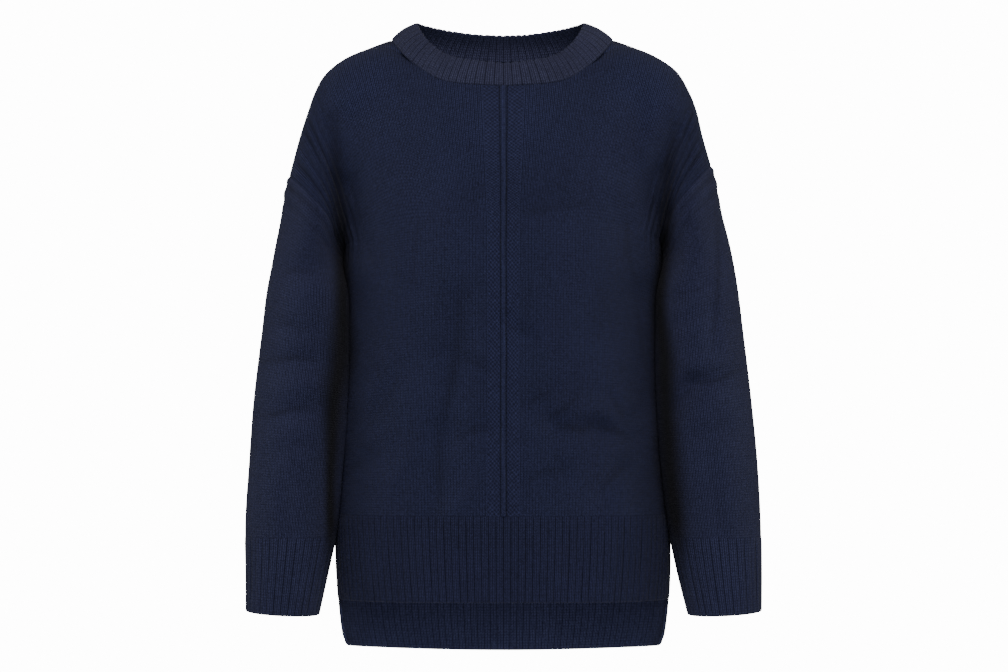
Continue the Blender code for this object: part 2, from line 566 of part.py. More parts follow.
def build_wall(name, cloth, is_tube, material):
    """Closed wall: raised outer points over plain inner ones, joined around the edges."""
    points, normal, relief = cloth
    outer = points + normal * relief[..., None]
    inner = points - normal * wall_thickness(points)[..., None]
    rows, columns = points.shape[:2]
    mesh = bpy.data.meshes.new(name)
    shape = bmesh.new()
    skins = []
    for skin in (outer, inner):
        skins.append([[shape.verts.new(point) for point in line] for line in skin])
    last = columns if is_tube else columns - 1
    for grid in skins:
        for i in range(rows - 1):
            for j in range(last):
                k = (j + 1) % columns
                shape.faces.new((grid[i][j], grid[i][k], grid[i + 1][k], grid[i + 1][j]))
    for i in (0, rows - 1):
        for j in range(last):
            k = (j + 1) % columns
            shape.faces.new((skins[0][i][j], skins[0][i][k], skins[1][i][k], skins[1][i][j]))
    if not is_tube:
        for j in (0, columns - 1):
            for i in range(rows - 1):
                shape.faces.new((skins[0][i][j], skins[0][i + 1][j], skins[1][i + 1][j], skins[1][i][j]))
    bmesh.ops.recalc_face_normals(shape, faces=shape.faces)
    shape.to_mesh(mesh)
    shape.free()
    mesh.shade_smooth()
    mesh.materials.append(material)
    piece = bpy.data.objects.new(name, mesh)
    bpy.context.scene.collection.objects.link(piece)
    return piece


def rib_relief(rows, columns):
    """Every second column stands out."""
    return np.tile(np.where(np.arange(columns) % 2 == 1, RIB_RELIEF, 0.0), (rows, 1))


def panel_rows(courses):
    above = np.linspace(0.0, UNDERARM_ROW, courses[0] + 1)
    below = UNDERARM_ROW + (1.0 - UNDERARM_ROW) * np.linspace(0.0, 1.0, courses[1] + 1) ** 1.3
    return np.concatenate((above, below[1:]))


def half_columns(wales):
    """Columns of half a panel, closer where the neckband turns toward the shoulder."""
    turn = np.linspace(0.0, np.pi / 2.0, wales[0] + 1)
    below_neck = NECK_SHARE * (0.35 * turn / turn[-1] + 0.65 * np.sin(turn))
    below_fold = np.linspace(NECK_SHARE, 1.0, wales[1] + 1)
    return np.concatenate((below_neck[1:], below_fold[1:]))


def build_panels(materials):
    rib = np.array(CENTRE_RIB) / HALF_FLAT
    half = np.concatenate((rib, half_columns(FRONT_WALES)))
    columns = np.concatenate((-half[::-1], half))
    rows = panel_rows(FRONT_COURSES)
    height = np.where(np.abs(columns) <= rib[0], CENTRE_RELIEF[0], 0.0)
    height = np.where(np.abs(columns) == rib[1], CENTRE_RELIEF[1], height)
    relief = np.tile(height, (len(rows), 1))
    build_wall("front_panel", panel("front", columns, rows, relief), False, materials["panel"])
    half = half_columns(BACK_WALES)
    columns = np.concatenate((-half[::-1], [0.0], half))
    rows = panel_rows(BACK_COURSES)
    relief = np.zeros((len(rows), len(columns)))
    build_wall("back_panel", panel("back", columns, rows, relief), False, materials["panel"])


def build_hems(materials):
    columns = np.linspace(-1.0, 1.0, 2 * HEM_RIBS + 1)
    relief = rib_relief(RIB_COURSES + 1, len(columns))
    for face, hem in (("front", FRONT_HEM), ("back", BACK_HEM)):
        first = 1.0 + SEAM_GAP / (PANEL_END["middle"] - hem["middle"])
        rows = np.linspace(first, 2.0, RIB_COURSES + 1)
        build_wall(face + "_hem_rib", panel(face, columns, rows, relief), False, materials["rib"])


def build_sleeves(materials):
    # The sides of a sleeve meet the rows of the two panels at the armhole.
    in_front = np.linspace(0.0, np.pi, FRONT_COURSES[0] + 1)
    behind = np.linspace(np.pi, 2.0 * np.pi, BACK_COURSES[0] + 1)
    turns = np.concatenate((in_front, behind[1:-1]))
    rows = np.linspace(0.0, 1.0, SLEEVE_COURSES + 1)
    plain = np.zeros((len(rows), len(turns)))
    cuff_turns = np.arange(2 * CUFF_RIBS) * np.pi / CUFF_RIBS
    first = 1.0 + SEAM_GAP / (CUFF_TOP - CUFF_END["outer"])
    cuff_rows = np.linspace(first, 2.0, RIB_COURSES + 1)
    ribs = rib_relief(len(cuff_rows), len(cuff_turns))
    for side in ("left", "right"):
        cloth = sleeve(side, turns, rows, plain)
        build_wall(side + "_sleeve", cloth, True, materials["sleeve"])
        cloth = sleeve(side, cuff_turns, cuff_rows, ribs)
        build_wall(side + "_cuff", cloth, True, materials["rib"])


def build_neckband(materials):
    count = 2 * NECK_RIBS
    angles = -180.0 + (np.arange(count) + 0.5) * 360.0 / count
    rows = np.linspace(0.0, 1.0, NECK_COURSES + 1)
    cloth = neckband(angles, rows, rib_relief(len(rows), count))
    build_wall("neckband", cloth, True, materials["neckband"])


def main():
    for old in list(bpy.data.objects):
        bpy.data.objects.remove(old, do_unlink=True)
    materials = {name: cloth_material(name) for name in YARN}
    build_panels(materials)
    build_hems(materials)
    build_sleeves(materials)
    build_neckband(materials)


main()
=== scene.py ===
"""Looks of the knit sweater: the visible cloth, its yarn, the light and the camera.

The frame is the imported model. The first part repeats the sizes, tables and section functions of
the solids, because the visible cloth follows the same form at a finer pitch. Two things differ:
the sleeves reach further in under the arm and lie closer to the body, and CREASES adds small folds.
"""

import math

import bpy
import numpy as np
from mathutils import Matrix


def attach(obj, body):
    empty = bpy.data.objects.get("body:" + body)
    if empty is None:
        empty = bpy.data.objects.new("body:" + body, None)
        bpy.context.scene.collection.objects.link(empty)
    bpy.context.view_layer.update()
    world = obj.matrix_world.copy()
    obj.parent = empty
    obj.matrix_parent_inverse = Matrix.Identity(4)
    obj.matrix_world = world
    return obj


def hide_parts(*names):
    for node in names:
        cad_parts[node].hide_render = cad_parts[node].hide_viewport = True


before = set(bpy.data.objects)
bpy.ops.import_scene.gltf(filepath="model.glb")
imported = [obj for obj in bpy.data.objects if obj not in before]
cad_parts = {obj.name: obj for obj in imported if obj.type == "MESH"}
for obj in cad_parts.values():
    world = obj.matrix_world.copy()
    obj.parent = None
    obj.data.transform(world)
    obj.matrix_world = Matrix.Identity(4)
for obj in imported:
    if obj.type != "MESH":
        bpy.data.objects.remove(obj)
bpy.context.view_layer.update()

# ---- camera --------------------------------------------------------------------------------
PIXEL = 0.0011           # metres to a pixel of the photo, at Y = 0
PHOTO_WIDTH = 1008       # in pixels
SENSOR = 36.0            # width of the camera's sensor, in millimetres
CAMERA_DISTANCE = 3.1
CAMERA_PLACE = (0.00055, -CAMERA_DISTANCE, -0.3146)  # opposite the middle of the photo
CAMERA_REACH = 40.0      # farthest thing that the camera sees

camera_data = bpy.data.cameras.new("camera")
camera_data.sensor_width = SENSOR
camera_data.lens = SENSOR * CAMERA_DISTANCE / (PHOTO_WIDTH * PIXEL)
camera_data.clip_end = CAMERA_REACH
camera = bpy.data.objects.new("camera", camera_data)
camera.location = CAMERA_PLACE
camera.rotation_euler = (math.pi / 2.0, 0.0, 0.0)
bpy.context.scene.collection.objects.link(camera)
bpy.context.scene.camera = camera

# ---- driving sizes -------------------------------------------------------------------------
WALL = 0.0025            # thickness of the knitted cloth
SQUEEZED_WALL = 0.0011   # the same in the fold under an arm
NECK_SHARE = 0.39        # part of half a panel's width which ends at the neckband
SHOULDER_ROUND = 0.050   # radius of the shoulder fold, seen from the side
NAPE = {"front": 0.000, "back": 0.050}  # height at X = 0 that the shoulder folds would run up to
ARMHOLE_MIDDLE = {"left": -0.1710, "right": -0.1615}   # height of the seam in front of the arm
ARMHOLE_SLOPE = {"left": 0.0320, "right": 0.0340}      # how far it rises outward and dips inward
UNDERARM_DIP = 0.025     # how much farther it dips at the underarm
UNDERARM_ROW = 0.38      # share of a panel's rows above the underarm
UNDERARM_MIDDLE = -0.190  # height at the centre of the row that passes under the arms
PANEL_END = {"middle": -0.506, "side": -0.510}         # where the stockinette ends
FRONT_HEM = {"middle": -0.598, "side": -0.604}         # lower edge in front
BACK_HEM = {"middle": -0.671, "side": -0.656}          # lower edge behind
BACK_CORNER = 0.020      # rise of the rounded corners of the back hem
CUFF_TOP = -0.532
CUFF_END = {"outer": -0.6140, "inner": -0.6185}
TORSO_SQUARENESS = 2.2   # 2 is an ellipse, more is squarer
TORSO_GIRTH = (0.172, 0.105)  # half width and depth that set how the columns are spaced around it
SLEEVE_CLEARANCE = 0.0004  # space that a sleeve is flattened to where it hangs against the body
PRESS_SOFTNESS = 0.0012    # how gradually a sleeve flattens there
PRESSED_FROM = 0.036       # share of a sleeve's length below which it is flattened in full
CREASED_FROM = 0.125       # the same for its folds
BLEND_SHARPNESS = 5.0    # how tightly the shoulder and the chest flow together
YOKE = (-0.160, 0.080)   # height where the chest starts to turn into the shoulder, and over how much
ARM_START = (-0.245, 0.050)  # the same where the arm starts to show in the panels
SHOULDER_REACH = 0.090   # how far below its fold the shoulder is still round
FULL_FOLD = 0.040        # depth of the body from which its folds have their whole height
OUTLINE_SLACK = 0.00003  # how far the straight pieces of the outline lie off its curve
SQUEEZED_REACH = (0.030, 0.070)  # distances from the underarm between which the cloth gets thick
ARMHOLE_PULL = 0.70      # share of a panel's width beyond which its columns bend to the armhole
NECK_BULGE = 0.0025      # how far the middle of the neckband rounds out
NECK_WIDTH = {"seam": (1.010, 0.988), "rim": (1.000, 0.930)}  # left and right, times the table's X
HEM_RIBS = 60
CUFF_RIBS = 32
NECK_RIBS = 76

# ---- tables --------------------------------------------------------------------------------
# The body without its arms: half widths left and right of X = 0, depths before and behind Y = 0,
# and the Y at which it is widest, where the side seams run.
TORSO = {"columns": ("z", "left", "right", "front", "back", "seam_y"), "rows": (
    (0.030, 0.150, 0.150, 0.062, 0.060, 0.000),
    (-0.040, 0.162, 0.160, 0.082, 0.080, 0.000),
    (-0.100, 0.172, 0.168, 0.099, 0.091, 0.000),
    (-0.170, 0.177, 0.172, 0.114, 0.094, 0.000),
    (-0.225, 0.175, 0.174, 0.119, 0.090, 0.000),
    (-0.240, 0.176, 0.174, 0.118, 0.088, 0.000),
    (-0.270, 0.174, 0.171, 0.116, 0.085, 0.006),
    (-0.320, 0.175, 0.171, 0.111, 0.081, 0.010),
    (-0.390, 0.179, 0.173, 0.108, 0.084, 0.012),
    (-0.440, 0.182, 0.176, 0.109, 0.090, 0.012),
    (-0.510, 0.185, 0.182, 0.111, 0.096, 0.012),
    (-0.600, 0.182, 0.182, 0.109, 0.098, 0.012),
    (-0.640, 0.178, 0.178, 0.107, 0.098, 0.014),
    (-0.670, 0.172, 0.172, 0.105, 0.098, 0.016))}

# The arms: outer and inner edge from X = 0, half depth, and how far they hang forward.
ARMS = {"columns": ("z", "left_out", "left_in", "right_out", "right_in", "depth", "forward"), "rows": (
    (-0.070, 0.2155, 0.1250, 0.2125, 0.1250, 0.056, 0.000),
    (-0.135, 0.2345, 0.1420, 0.2300, 0.1420, 0.058, 0.000),
    (-0.180, 0.2435, 0.1600, 0.2400, 0.1600, 0.060, 0.000),
    (-0.222, 0.2520, 0.1745, 0.2505, 0.1725, 0.061, 0.000),
    (-0.240, 0.2553, 0.1705, 0.2540, 0.1680, 0.061, 0.000),
    (-0.260, 0.2590, 0.1640, 0.2570, 0.1620, 0.061, 0.004),
    (-0.310, 0.2650, 0.1620, 0.2630, 0.1610, 0.060, 0.008),
    (-0.390, 0.2740, 0.1650, 0.2720, 0.1640, 0.058, 0.014),
    (-0.450, 0.2780, 0.1710, 0.2775, 0.1690, 0.055, 0.018),
    (-0.520, 0.2820, 0.1800, 0.2810, 0.1790, 0.051, 0.022),
    (-0.570, 0.2810, 0.1905, 0.2815, 0.1890, 0.046, 0.025),
    (-0.620, 0.2805, 0.2015, 0.2810, 0.2015, 0.040, 0.028))}

# The shoulder fold from the neckband to the top of the armhole, by its share of that length.
SHOULDER = {"columns": ("share", "left_x", "left_z", "right_x", "right_z"), "rows": (
    (0.00, 0.1235, 0.0110, 0.1205, 0.0110),
    (0.13, 0.1483, 0.0017, 0.1440, 0.0025),
    (0.27, 0.1747, -0.0099, 0.1680, -0.0080),
    (0.40, 0.1953, -0.0264, 0.1900, -0.0235),
    (0.54, 0.2074, -0.0468, 0.2040, -0.0460),
    (0.67, 0.2154, -0.0693, 0.2120, -0.0660),
    (0.84, 0.2250, -0.0997, 0.2190, -0.0955),
    (1.00, 0.2354, -0.1390, 0.2280, -0.1275))}

# The neckband from the front middle (0 degrees) over the shoulder (90) to the back middle (180).
NECK = {"columns": ("angle", "seam_x", "seam_y", "seam_z", "rim_x", "rim_y", "rim_z"), "rows": (
    (0.0, 0.000, -0.076, -0.046, 0.000, -0.062, -0.0200),
    (30.0, 0.062, -0.070, -0.040, 0.052, -0.056, -0.0130),
    (55.0, 0.091, -0.056, -0.024, 0.075, -0.044, 0.0000),
    (75.0, 0.111, -0.037, -0.005, 0.089, -0.027, 0.0165),
    (90.0, 0.122, 0.000, 0.011, 0.095, 0.000, 0.0290),
    (110.0, 0.112, 0.031, 0.007, 0.088, 0.024, 0.0300),
    (135.0, 0.082, 0.056, 0.000, 0.066, 0.043, 0.0270),
    (160.0, 0.038, 0.073, -0.004, 0.030, 0.057, 0.0235),
    (180.0, 0.000, 0.076, -0.006, 0.000, 0.060, 0.0225))}

# Soft ridges (height above 0) and troughs (below 0), each along a straight line seen from the front.
FOLDS = {"columns": ("face", "x0", "z0", "x1", "z1", "width", "height"), "rows": (
    ("front", -0.183, -0.085, -0.174, -0.150, 0.015, -0.006),
    ("front", -0.174, -0.150, -0.167, -0.190, 0.015, -0.006),
    ("front", 0.184, -0.095, 0.173, -0.140, 0.015, -0.006),
    ("front", 0.173, -0.140, 0.166, -0.180, 0.015, -0.006),
    ("front", 0.160, -0.085, 0.152, -0.200, 0.012, 0.004),
    ("front", -0.043, -0.275, -0.064, -0.412, 0.020, -0.004),
    ("front", -0.064, -0.412, -0.071, -0.510, 0.018, -0.004),
    ("front", 0.129, -0.184, 0.144, -0.266, 0.016, -0.004),
    ("front", 0.144, -0.266, 0.157, -0.385, 0.016, -0.004),
    ("front", 0.057, -0.412, 0.098, -0.412, 0.014, -0.005),
    ("front", 0.098, -0.412, 0.139, -0.424, 0.014, -0.005),
    ("front", 0.060, -0.390, 0.120, -0.396, 0.018, 0.004),
    ("front", 0.106, -0.480, 0.134, -0.449, 0.014, -0.004),
    ("front", 0.026, -0.390, 0.052, -0.371, 0.014, -0.003),
    ("front", -0.171, -0.466, -0.149, -0.445, 0.014, -0.004),
    ("front", -0.053, -0.421, -0.012, -0.412, 0.014, -0.003),
    ("front", 0.006, -0.179, 0.106, -0.175, 0.016, -0.002),
    ("front", 0.075, -0.560, 0.100, -0.508, 0.018, -0.003),
    ("back", -0.120, -0.180, -0.060, -0.270, 0.020, -0.005),
    ("back", 0.125, -0.170, 0.055, -0.285, 0.020, -0.005),
    ("back", -0.110, -0.330, -0.020, -0.352, 0.018, -0.005),
    ("back", 0.020, -0.365, 0.115, -0.338, 0.018, -0.006),
    ("back", -0.130, -0.425, -0.045, -0.400, 0.018, -0.004),
    ("back", 0.050, -0.455, 0.130, -0.420, 0.018, -0.004),
    ("left_front", -0.240, -0.248, -0.198, -0.241, 0.014, -0.004),
    ("left_front", -0.262, -0.339, -0.198, -0.341, 0.014, -0.005),
    ("left_front", -0.262, -0.400, -0.198, -0.392, 0.014, -0.005),
    ("left_front", -0.262, -0.370, -0.205, -0.366, 0.013, 0.003),
    ("left_back", -0.250, -0.300, -0.200, -0.322, 0.015, -0.004),
    ("left_back", -0.262, -0.395, -0.200, -0.372, 0.015, -0.005),
    ("right_front", 0.233, -0.170, 0.227, -0.325, 0.012, -0.004),
    ("right_front", 0.184, -0.275, 0.216, -0.258, 0.012, -0.004),
    ("right_front", 0.184, -0.394, 0.203, -0.366, 0.012, -0.006),
    ("right_front", 0.203, -0.366, 0.258, -0.353, 0.012, -0.006),
    ("right_front", 0.200, -0.348, 0.250, -0.333, 0.012, 0.003),
    ("right_back", 0.200, -0.310, 0.250, -0.290, 0.015, -0.004),
    ("right_back", 0.198, -0.372, 0.262, -0.400, 0.015, -0.005))}

# Small creases that are only in the visible cloth, in the same columns as FOLDS.
CREASES = {"columns": FOLDS["columns"], "rows": (
    ("front", -0.150, -0.212, -0.128, -0.250, 0.010, -0.0030),
    ("front", -0.094, -0.184, -0.094, -0.266, 0.012, -0.0025),
    ("front", 0.002, -0.298, 0.025, -0.316, 0.010, -0.0030),
    ("front", 0.112, -0.380, 0.134, -0.403, 0.010, -0.0040),
    ("front", 0.150, -0.300, 0.166, -0.420, 0.010, 0.0030),
    ("front", -0.160, -0.300, -0.150, -0.420, 0.012, 0.0030),
    ("front", -0.120, -0.470, -0.100, -0.440, 0.010, 0.0025),
    ("front", 0.020, -0.470, 0.060, -0.455, 0.012, -0.0030),
    ("front", -0.030, -0.480, -0.060, -0.500, 0.012, 0.0025),
    ("front", 0.050, -0.405, 0.082, -0.372, 0.012, -0.0035),
    ("front", -0.150, -0.420, -0.108, -0.352, 0.012, -0.0030),
    ("front", -0.060, -0.330, -0.018, -0.352, 0.010, -0.0025),
    ("front", 0.128, -0.455, 0.162, -0.478, 0.010, -0.0030),
    ("back", -0.140, -0.240, -0.100, -0.300, 0.012, -0.0030),
    ("back", 0.135, -0.240, 0.095, -0.310, 0.012, -0.0030),
    ("back", -0.060, -0.460, 0.000, -0.475, 0.014, -0.0030),
    ("back", 0.050, -0.300, 0.110, -0.285, 0.012, 0.0030),
    ("left_front", -0.250, -0.300, -0.205, -0.310, 0.009, -0.0030),
    ("left_front", -0.255, -0.440, -0.210, -0.430, 0.010, -0.0025),
    ("left_front", -0.235, -0.480, -0.232, -0.530, 0.010, -0.0025),
    ("left_back", -0.255, -0.345, -0.205, -0.350, 0.010, -0.0030),
    ("right_front", 0.190, -0.300, 0.222, -0.285, 0.009, -0.0030),
    ("right_front", 0.205, -0.420, 0.240, -0.410, 0.010, -0.0030),
    ("right_front", 0.225, -0.450, 0.232, -0.530, 0.010, -0.0025),
    ("right_back", 0.205, -0.345, 0.255, -0.345, 0.010, -0.0030))}

SIGN = {"left": -1.0, "right": 1.0}
FACE = {"front": -1.0, "back": 1.0}


# ---- reading the tables --------------------------------------------------------------------
def look_up(table, name, at):
    """Value of a named column at a place of the first one, eased through the rows."""
    place = table["columns"].index(name)
    rows = sorted(table["rows"])
    keys = np.array([row[0] for row in rows])
    values = np.array([row[place] for row in rows])
    slopes = np.gradient(values, keys)
    at = np.clip(np.asarray(at, dtype=float), keys[0], keys[-1])
    index = np.clip(np.searchsorted(keys, at) - 1, 0, len(keys) - 2)
    span = keys[index + 1] - keys[index]
    share = (at - keys[index]) / span
    rise = values[index + 1] - values[index]
    ease = share * share * (3.0 - 2.0 * share)
    start = share * (1.0 - share) ** 2 * span * slopes[index]
    end = share * share * (share - 1.0) * span * slopes[index + 1]
    return values[index] + rise * ease + start + end


def smooth_step(value):
    value = np.clip(value, 0.0, 1.0)
    return value * value * (3.0 - 2.0 * value)


def by_side(sign, left, right):
    """Takes the left value where the sign is negative and the right one elsewhere."""
    return np.where(sign < 0.0, left, right)


def stack(x, y, z):
    return np.stack(np.broadcast_arrays(x, y, z), axis=-1)


def unit(vectors):
    length = np.linalg.norm(vectors, axis=-1, keepdims=True)
    return vectors / np.maximum(length, 1e-9)


def fold_height(face, x, z):
    """Sum of the ridges and troughs of one face at places seen from the front."""
    total = np.zeros(np.broadcast(x, z).shape)
    for name, x0, z0, x1, z1, width, height in FOLDS["rows"] + CREASES["rows"]:
        if name != face:
            continue
        run_x = x1 - x0
        run_z = z1 - z0
        along = ((x - x0) * run_x + (z - z0) * run_z) / (run_x ** 2 + run_z ** 2)
        along = np.clip(along, 0.0, 1.0)
        off = (x - x0 - along * run_x) ** 2 + (z - z0 - along * run_z) ** 2
        total = total + height * np.exp(-off / width ** 2)
    return total


# ---- the form under the cloth --------------------------------------------------------------
def shoulder_line(side, share):
    """Points of the shoulder fold, in the plane Y = 0."""
    x = SIGN[side] * look_up(SHOULDER, side + "_x", share)
    z = look_up(SHOULDER, side + "_z", share)
    return x, z


def shoulder_normal(side, share):
    """Outward direction of both panels along the shoulder fold."""
    x0, z0 = shoulder_line(side, np.maximum(share - 0.01, 0.0))
    x1, z1 = shoulder_line(side, np.minimum(share + 0.01, 1.0))
    return unit(stack(z0 - z1, 0.0, x1 - x0)) * SIGN[side]


def outline(face, side):
    """Shoulder fold from the middle of the neck outward, then the outer edge of the upper arm."""
    fold_x, fold_z = shoulder_line(side, np.linspace(0.0, 1.0, 97))
    arm_z = np.linspace(fold_z[-1], -0.300, 13)[1:]
    arm_x = SIGN[side] * look_up(ARMS, side + "_out", arm_z)
    return np.concatenate(([0.0], fold_x, arm_x)), np.concatenate(([NAPE[face]], fold_z, arm_z))


def inside_outline(face, sign, x, z):
    """Distance from the outline of the shoulder and the arm, seen from the front."""
    nearest = np.full(np.broadcast(x, z).shape, 1.0)
    for side in ("left", "right"):
        line_x, line_z = outline(face, side)
        for x0, z0, x1, z1 in zip(line_x, line_z, line_x[1:], line_z[1:]):
            run_x = x1 - x0
            run_z = z1 - z0
            along = ((x - x0) * run_x + (z - z0) * run_z) / (run_x ** 2 + run_z ** 2)
            along = np.clip(along, 0.0, 1.0)
            off = np.hypot(x - x0 - along * run_x, z - z0 - along * run_z)
            nearest = np.where(SIGN[side] == sign, np.minimum(nearest, off), nearest)
    return nearest


def arm_section(side, z):
    """Middle, half width, half depth and forward lean of an arm at a height."""
    outer = look_up(ARMS, side + "_out", z)
    inner = look_up(ARMS, side + "_in", z)
    depth = look_up(ARMS, "depth", z)
    forward = look_up(ARMS, "forward", z)
    return (outer + inner) / 2.0, (outer - inner) / 2.0, depth, forward


def torso_half(sign, z):
    return by_side(sign, look_up(TORSO, "left", z), look_up(TORSO, "right", z))


def torso_depth(face, z):
    """Depth of the torso before or behind its side seams."""
    return look_up(TORSO, face, z) - FACE[face] * look_up(TORSO, "seam_y", z)


def depth_at(face, sign, x, z):
    """Depth of the body's surface before or behind the plane of its side seams."""
    inside = np.clip(1.0 - (np.abs(x) / torso_half(sign, z)) ** TORSO_SQUARENESS, 0.0, 1.0)
    torso = torso_depth(face, z) * inside ** (1.0 / TORSO_SQUARENESS)
    below = np.maximum(inside_outline(face, sign, x, z) - OUTLINE_SLACK, 0.0)
    high = smooth_step((z - YOKE[0]) / YOKE[1])
    rounding = np.sqrt(1.0 - (1.0 - np.clip(below / SHOULDER_REACH, 0.0, 1.0)) ** 2)
    torso = torso * (1.0 - high + high * rounding)
    left = arm_section("left", z)
    right = arm_section("right", z)
    width = by_side(sign, left[1], right[1])
    width = width + (SHOULDER_ROUND - width) * high
    across = 1.0 - below / width
    across = np.where(across < 0.0, across * (1.0 - high), across)
    arm = left[2] * np.sqrt(np.clip(1.0 - across ** 2, 0.0, 1.0))
    arm = arm * smooth_step((z - ARM_START[0]) / ARM_START[1])
    both = (torso ** BLEND_SHARPNESS + arm ** BLEND_SHARPNESS) ** (1.0 / BLEND_SHARPNESS)
    return both + fold_height(face, x, z) * smooth_step(both / FULL_FOLD)


def torso_angle(share):
    """Angle on the squared ellipse of the torso at a share of its length from front to side."""
    angles = np.linspace(0.0, np.pi / 2.0, 181)
    power = 2.0 / TORSO_SQUARENESS
    x = TORSO_GIRTH[0] * np.sin(angles) ** power
    y = TORSO_GIRTH[1] * np.cos(angles) ** power
    length = np.concatenate(([0.0], np.cumsum(np.hypot(np.diff(x), np.diff(y)))))
    return np.interp(share, length / length[-1], angles)


def armhole_height(side, turn):
    """Height of the seam around the arm: 0 is its outer top, half a turn is the underarm."""
    inward = (1.0 - np.cos(turn)) / 2.0
    return ARMHOLE_MIDDLE[side] + ARMHOLE_SLOPE[side] * np.cos(turn) - UNDERARM_DIP * inward ** 5


def armhole(side, turn):
    """Points of the seam around the arm."""
    z = armhole_height(side, turn)
    middle, width, depth, forward = arm_section(side, z)
    x = SIGN[side] * (middle + width * np.cos(turn))
    return stack(x, -forward - depth * np.sin(turn), z)


def armhole_normal(side, turn):
    """Outward direction of both pieces at that seam: sideways on top and down under the arm."""
    x = SIGN[side] * np.clip(np.cos(turn), 0.0, 1.0)
    return unit(stack(x, -np.sin(turn), 0.4 * (np.cos(turn) - 1.0)))


def wall_thickness(points):
    """Thickness of the cloth, which is squeezed in the fold under each arm."""
    nearest = np.full(points.shape[:-1], 1.0)
    for side in ("left", "right"):
        nearest = np.minimum(nearest, np.linalg.norm(points - armhole(side, np.pi), axis=-1))
    near, far = SQUEEZED_REACH
    return SQUEEZED_WALL + (WALL - SQUEEZED_WALL) * smooth_step((nearest - near) / (far - near))


def neck_point(angle, edge):
    """Point of the neckband's seam or rim; angles run from the front middle, left is negative."""
    place = np.abs(angle)
    x = np.sign(angle) * by_side(angle, *NECK_WIDTH[edge]) * look_up(NECK, edge + "_x", place)
    return stack(x, look_up(NECK, edge + "_y", place), look_up(NECK, edge + "_z", place))


def neck_normal(angle):
    """Outward direction of the neckband, in the plane Y = 0 where it meets the shoulder folds."""
    rise = neck_point(angle, "rim") - neck_point(angle, "seam")
    length = neck_point(angle + 1.0, "seam") - neck_point(angle - 1.0, "seam")
    normal = np.cross(length, rise)
    normal[..., 1] = normal[..., 1] * (1.0 - np.exp(-((np.abs(angle) - 90.0) / 8.0) ** 2))
    return unit(normal)


# ---- body panels ---------------------------------------------------------------------------
def neck_angle(face, share):
    """Angle on the neckband above a column, so that the columns start evenly spaced."""
    angles = np.linspace(0.0, 90.0, 91) if face == "front" else np.linspace(180.0, 90.0, 91)
    x = look_up(NECK, "seam_x", angles)
    return np.interp(share * x[-1], x, angles)


def top_point(face, sign, share):
    """Upper end of a column: on the neckband or on the shoulder fold."""
    on_neck = neck_point(sign * neck_angle(face, np.clip(share / NECK_SHARE, 0.0, 1.0)), "seam")
    along = np.clip((share - NECK_SHARE) / (1.0 - NECK_SHARE), 0.0, 1.0)
    left_x, left_z = shoulder_line("left", along)
    right_x, right_z = shoulder_line("right", along)
    on_fold = stack(by_side(sign, left_x, right_x), 0.0, by_side(sign, left_z, right_z))
    return np.where((share <= NECK_SHARE)[..., None], on_neck, on_fold)


def row_height(face, sign, share, row):
    """Height of a row below the underarm, and of the rows of the hem (past 1)."""
    side = by_side(sign, armhole_height("left", np.pi), armhole_height("right", np.pi))
    under = UNDERARM_MIDDLE + (side - UNDERARM_MIDDLE) * share ** 3
    end = PANEL_END["middle"] + (PANEL_END["side"] - PANEL_END["middle"]) * share ** 2
    hem = FRONT_HEM if face == "front" else BACK_HEM
    low = hem["middle"] + (hem["side"] - hem["middle"]) * share ** 2
    if face == "back":
        low = low + BACK_CORNER * np.clip((share - 0.92) / 0.08, 0.0, 1.0) ** 2
    on_panel = under + (end - under) * (row - UNDERARM_ROW) / (1.0 - UNDERARM_ROW)
    on_hem = end + (low - end) * (row - 1.0)
    return np.where(row <= 1.0, on_panel, on_hem)


def section_x(sign, z, share):
    return sign * torso_half(sign, z) * np.sin(torso_angle(share)) ** (2.0 / TORSO_SQUARENESS)


def on_body(face, sign, x, z):
    """Point of the body's surface, before or behind a place seen from the front."""
    return stack(x, look_up(TORSO, "seam_y", z) + FACE[face] * depth_at(face, sign, x, z), z)


def free_point(face, sign, share, row):
    """Surface of a panel before its outer columns are brought onto the armhole."""
    top = top_point(face, sign, share)
    under_z = row_height(face, sign, share, np.full(share.shape, UNDERARM_ROW))
    under_x = section_x(sign, under_z, share)
    part = np.clip(row / UNDERARM_ROW, 0.0, 1.0)
    rounded = 1.0 - np.cos(part * np.pi / 2.0)
    inward = (1.0 - np.cos(part * np.pi)) / 2.0
    late = 2.0 * ARMHOLE_SLOPE["left"] * inward + UNDERARM_DIP * inward ** 5
    late = late / (2.0 * ARMHOLE_SLOPE["left"] + UNDERARM_DIP)
    outward = np.clip((share - NECK_SHARE) / (1.0 - NECK_SHARE), 0.0, 1.0)
    from_neck = part + (rounded - part) * np.clip(share / NECK_SHARE, 0.0, 1.0) ** 3
    across = np.where(share < NECK_SHARE, from_neck, rounded + (inward - rounded) * outward)
    down = np.where(share < NECK_SHARE, from_neck, rounded + (late - rounded) * outward)
    low_z = row_height(face, sign, share, np.maximum(row, UNDERARM_ROW))
    above = row < UNDERARM_ROW
    x = np.where(above, top[..., 0] + (under_x - top[..., 0]) * across, section_x(sign, low_z, share))
    z = np.where(above, top[..., 2] + (under_z - top[..., 2]) * down, low_z)
    # The top row lies on the neckband's seam, which eases out over the rows below it.
    lift = top - on_body(face, sign, top[..., 0], top[..., 2])
    return on_body(face, sign, x, z) + lift * ((1.0 - part) ** 3)[..., None]


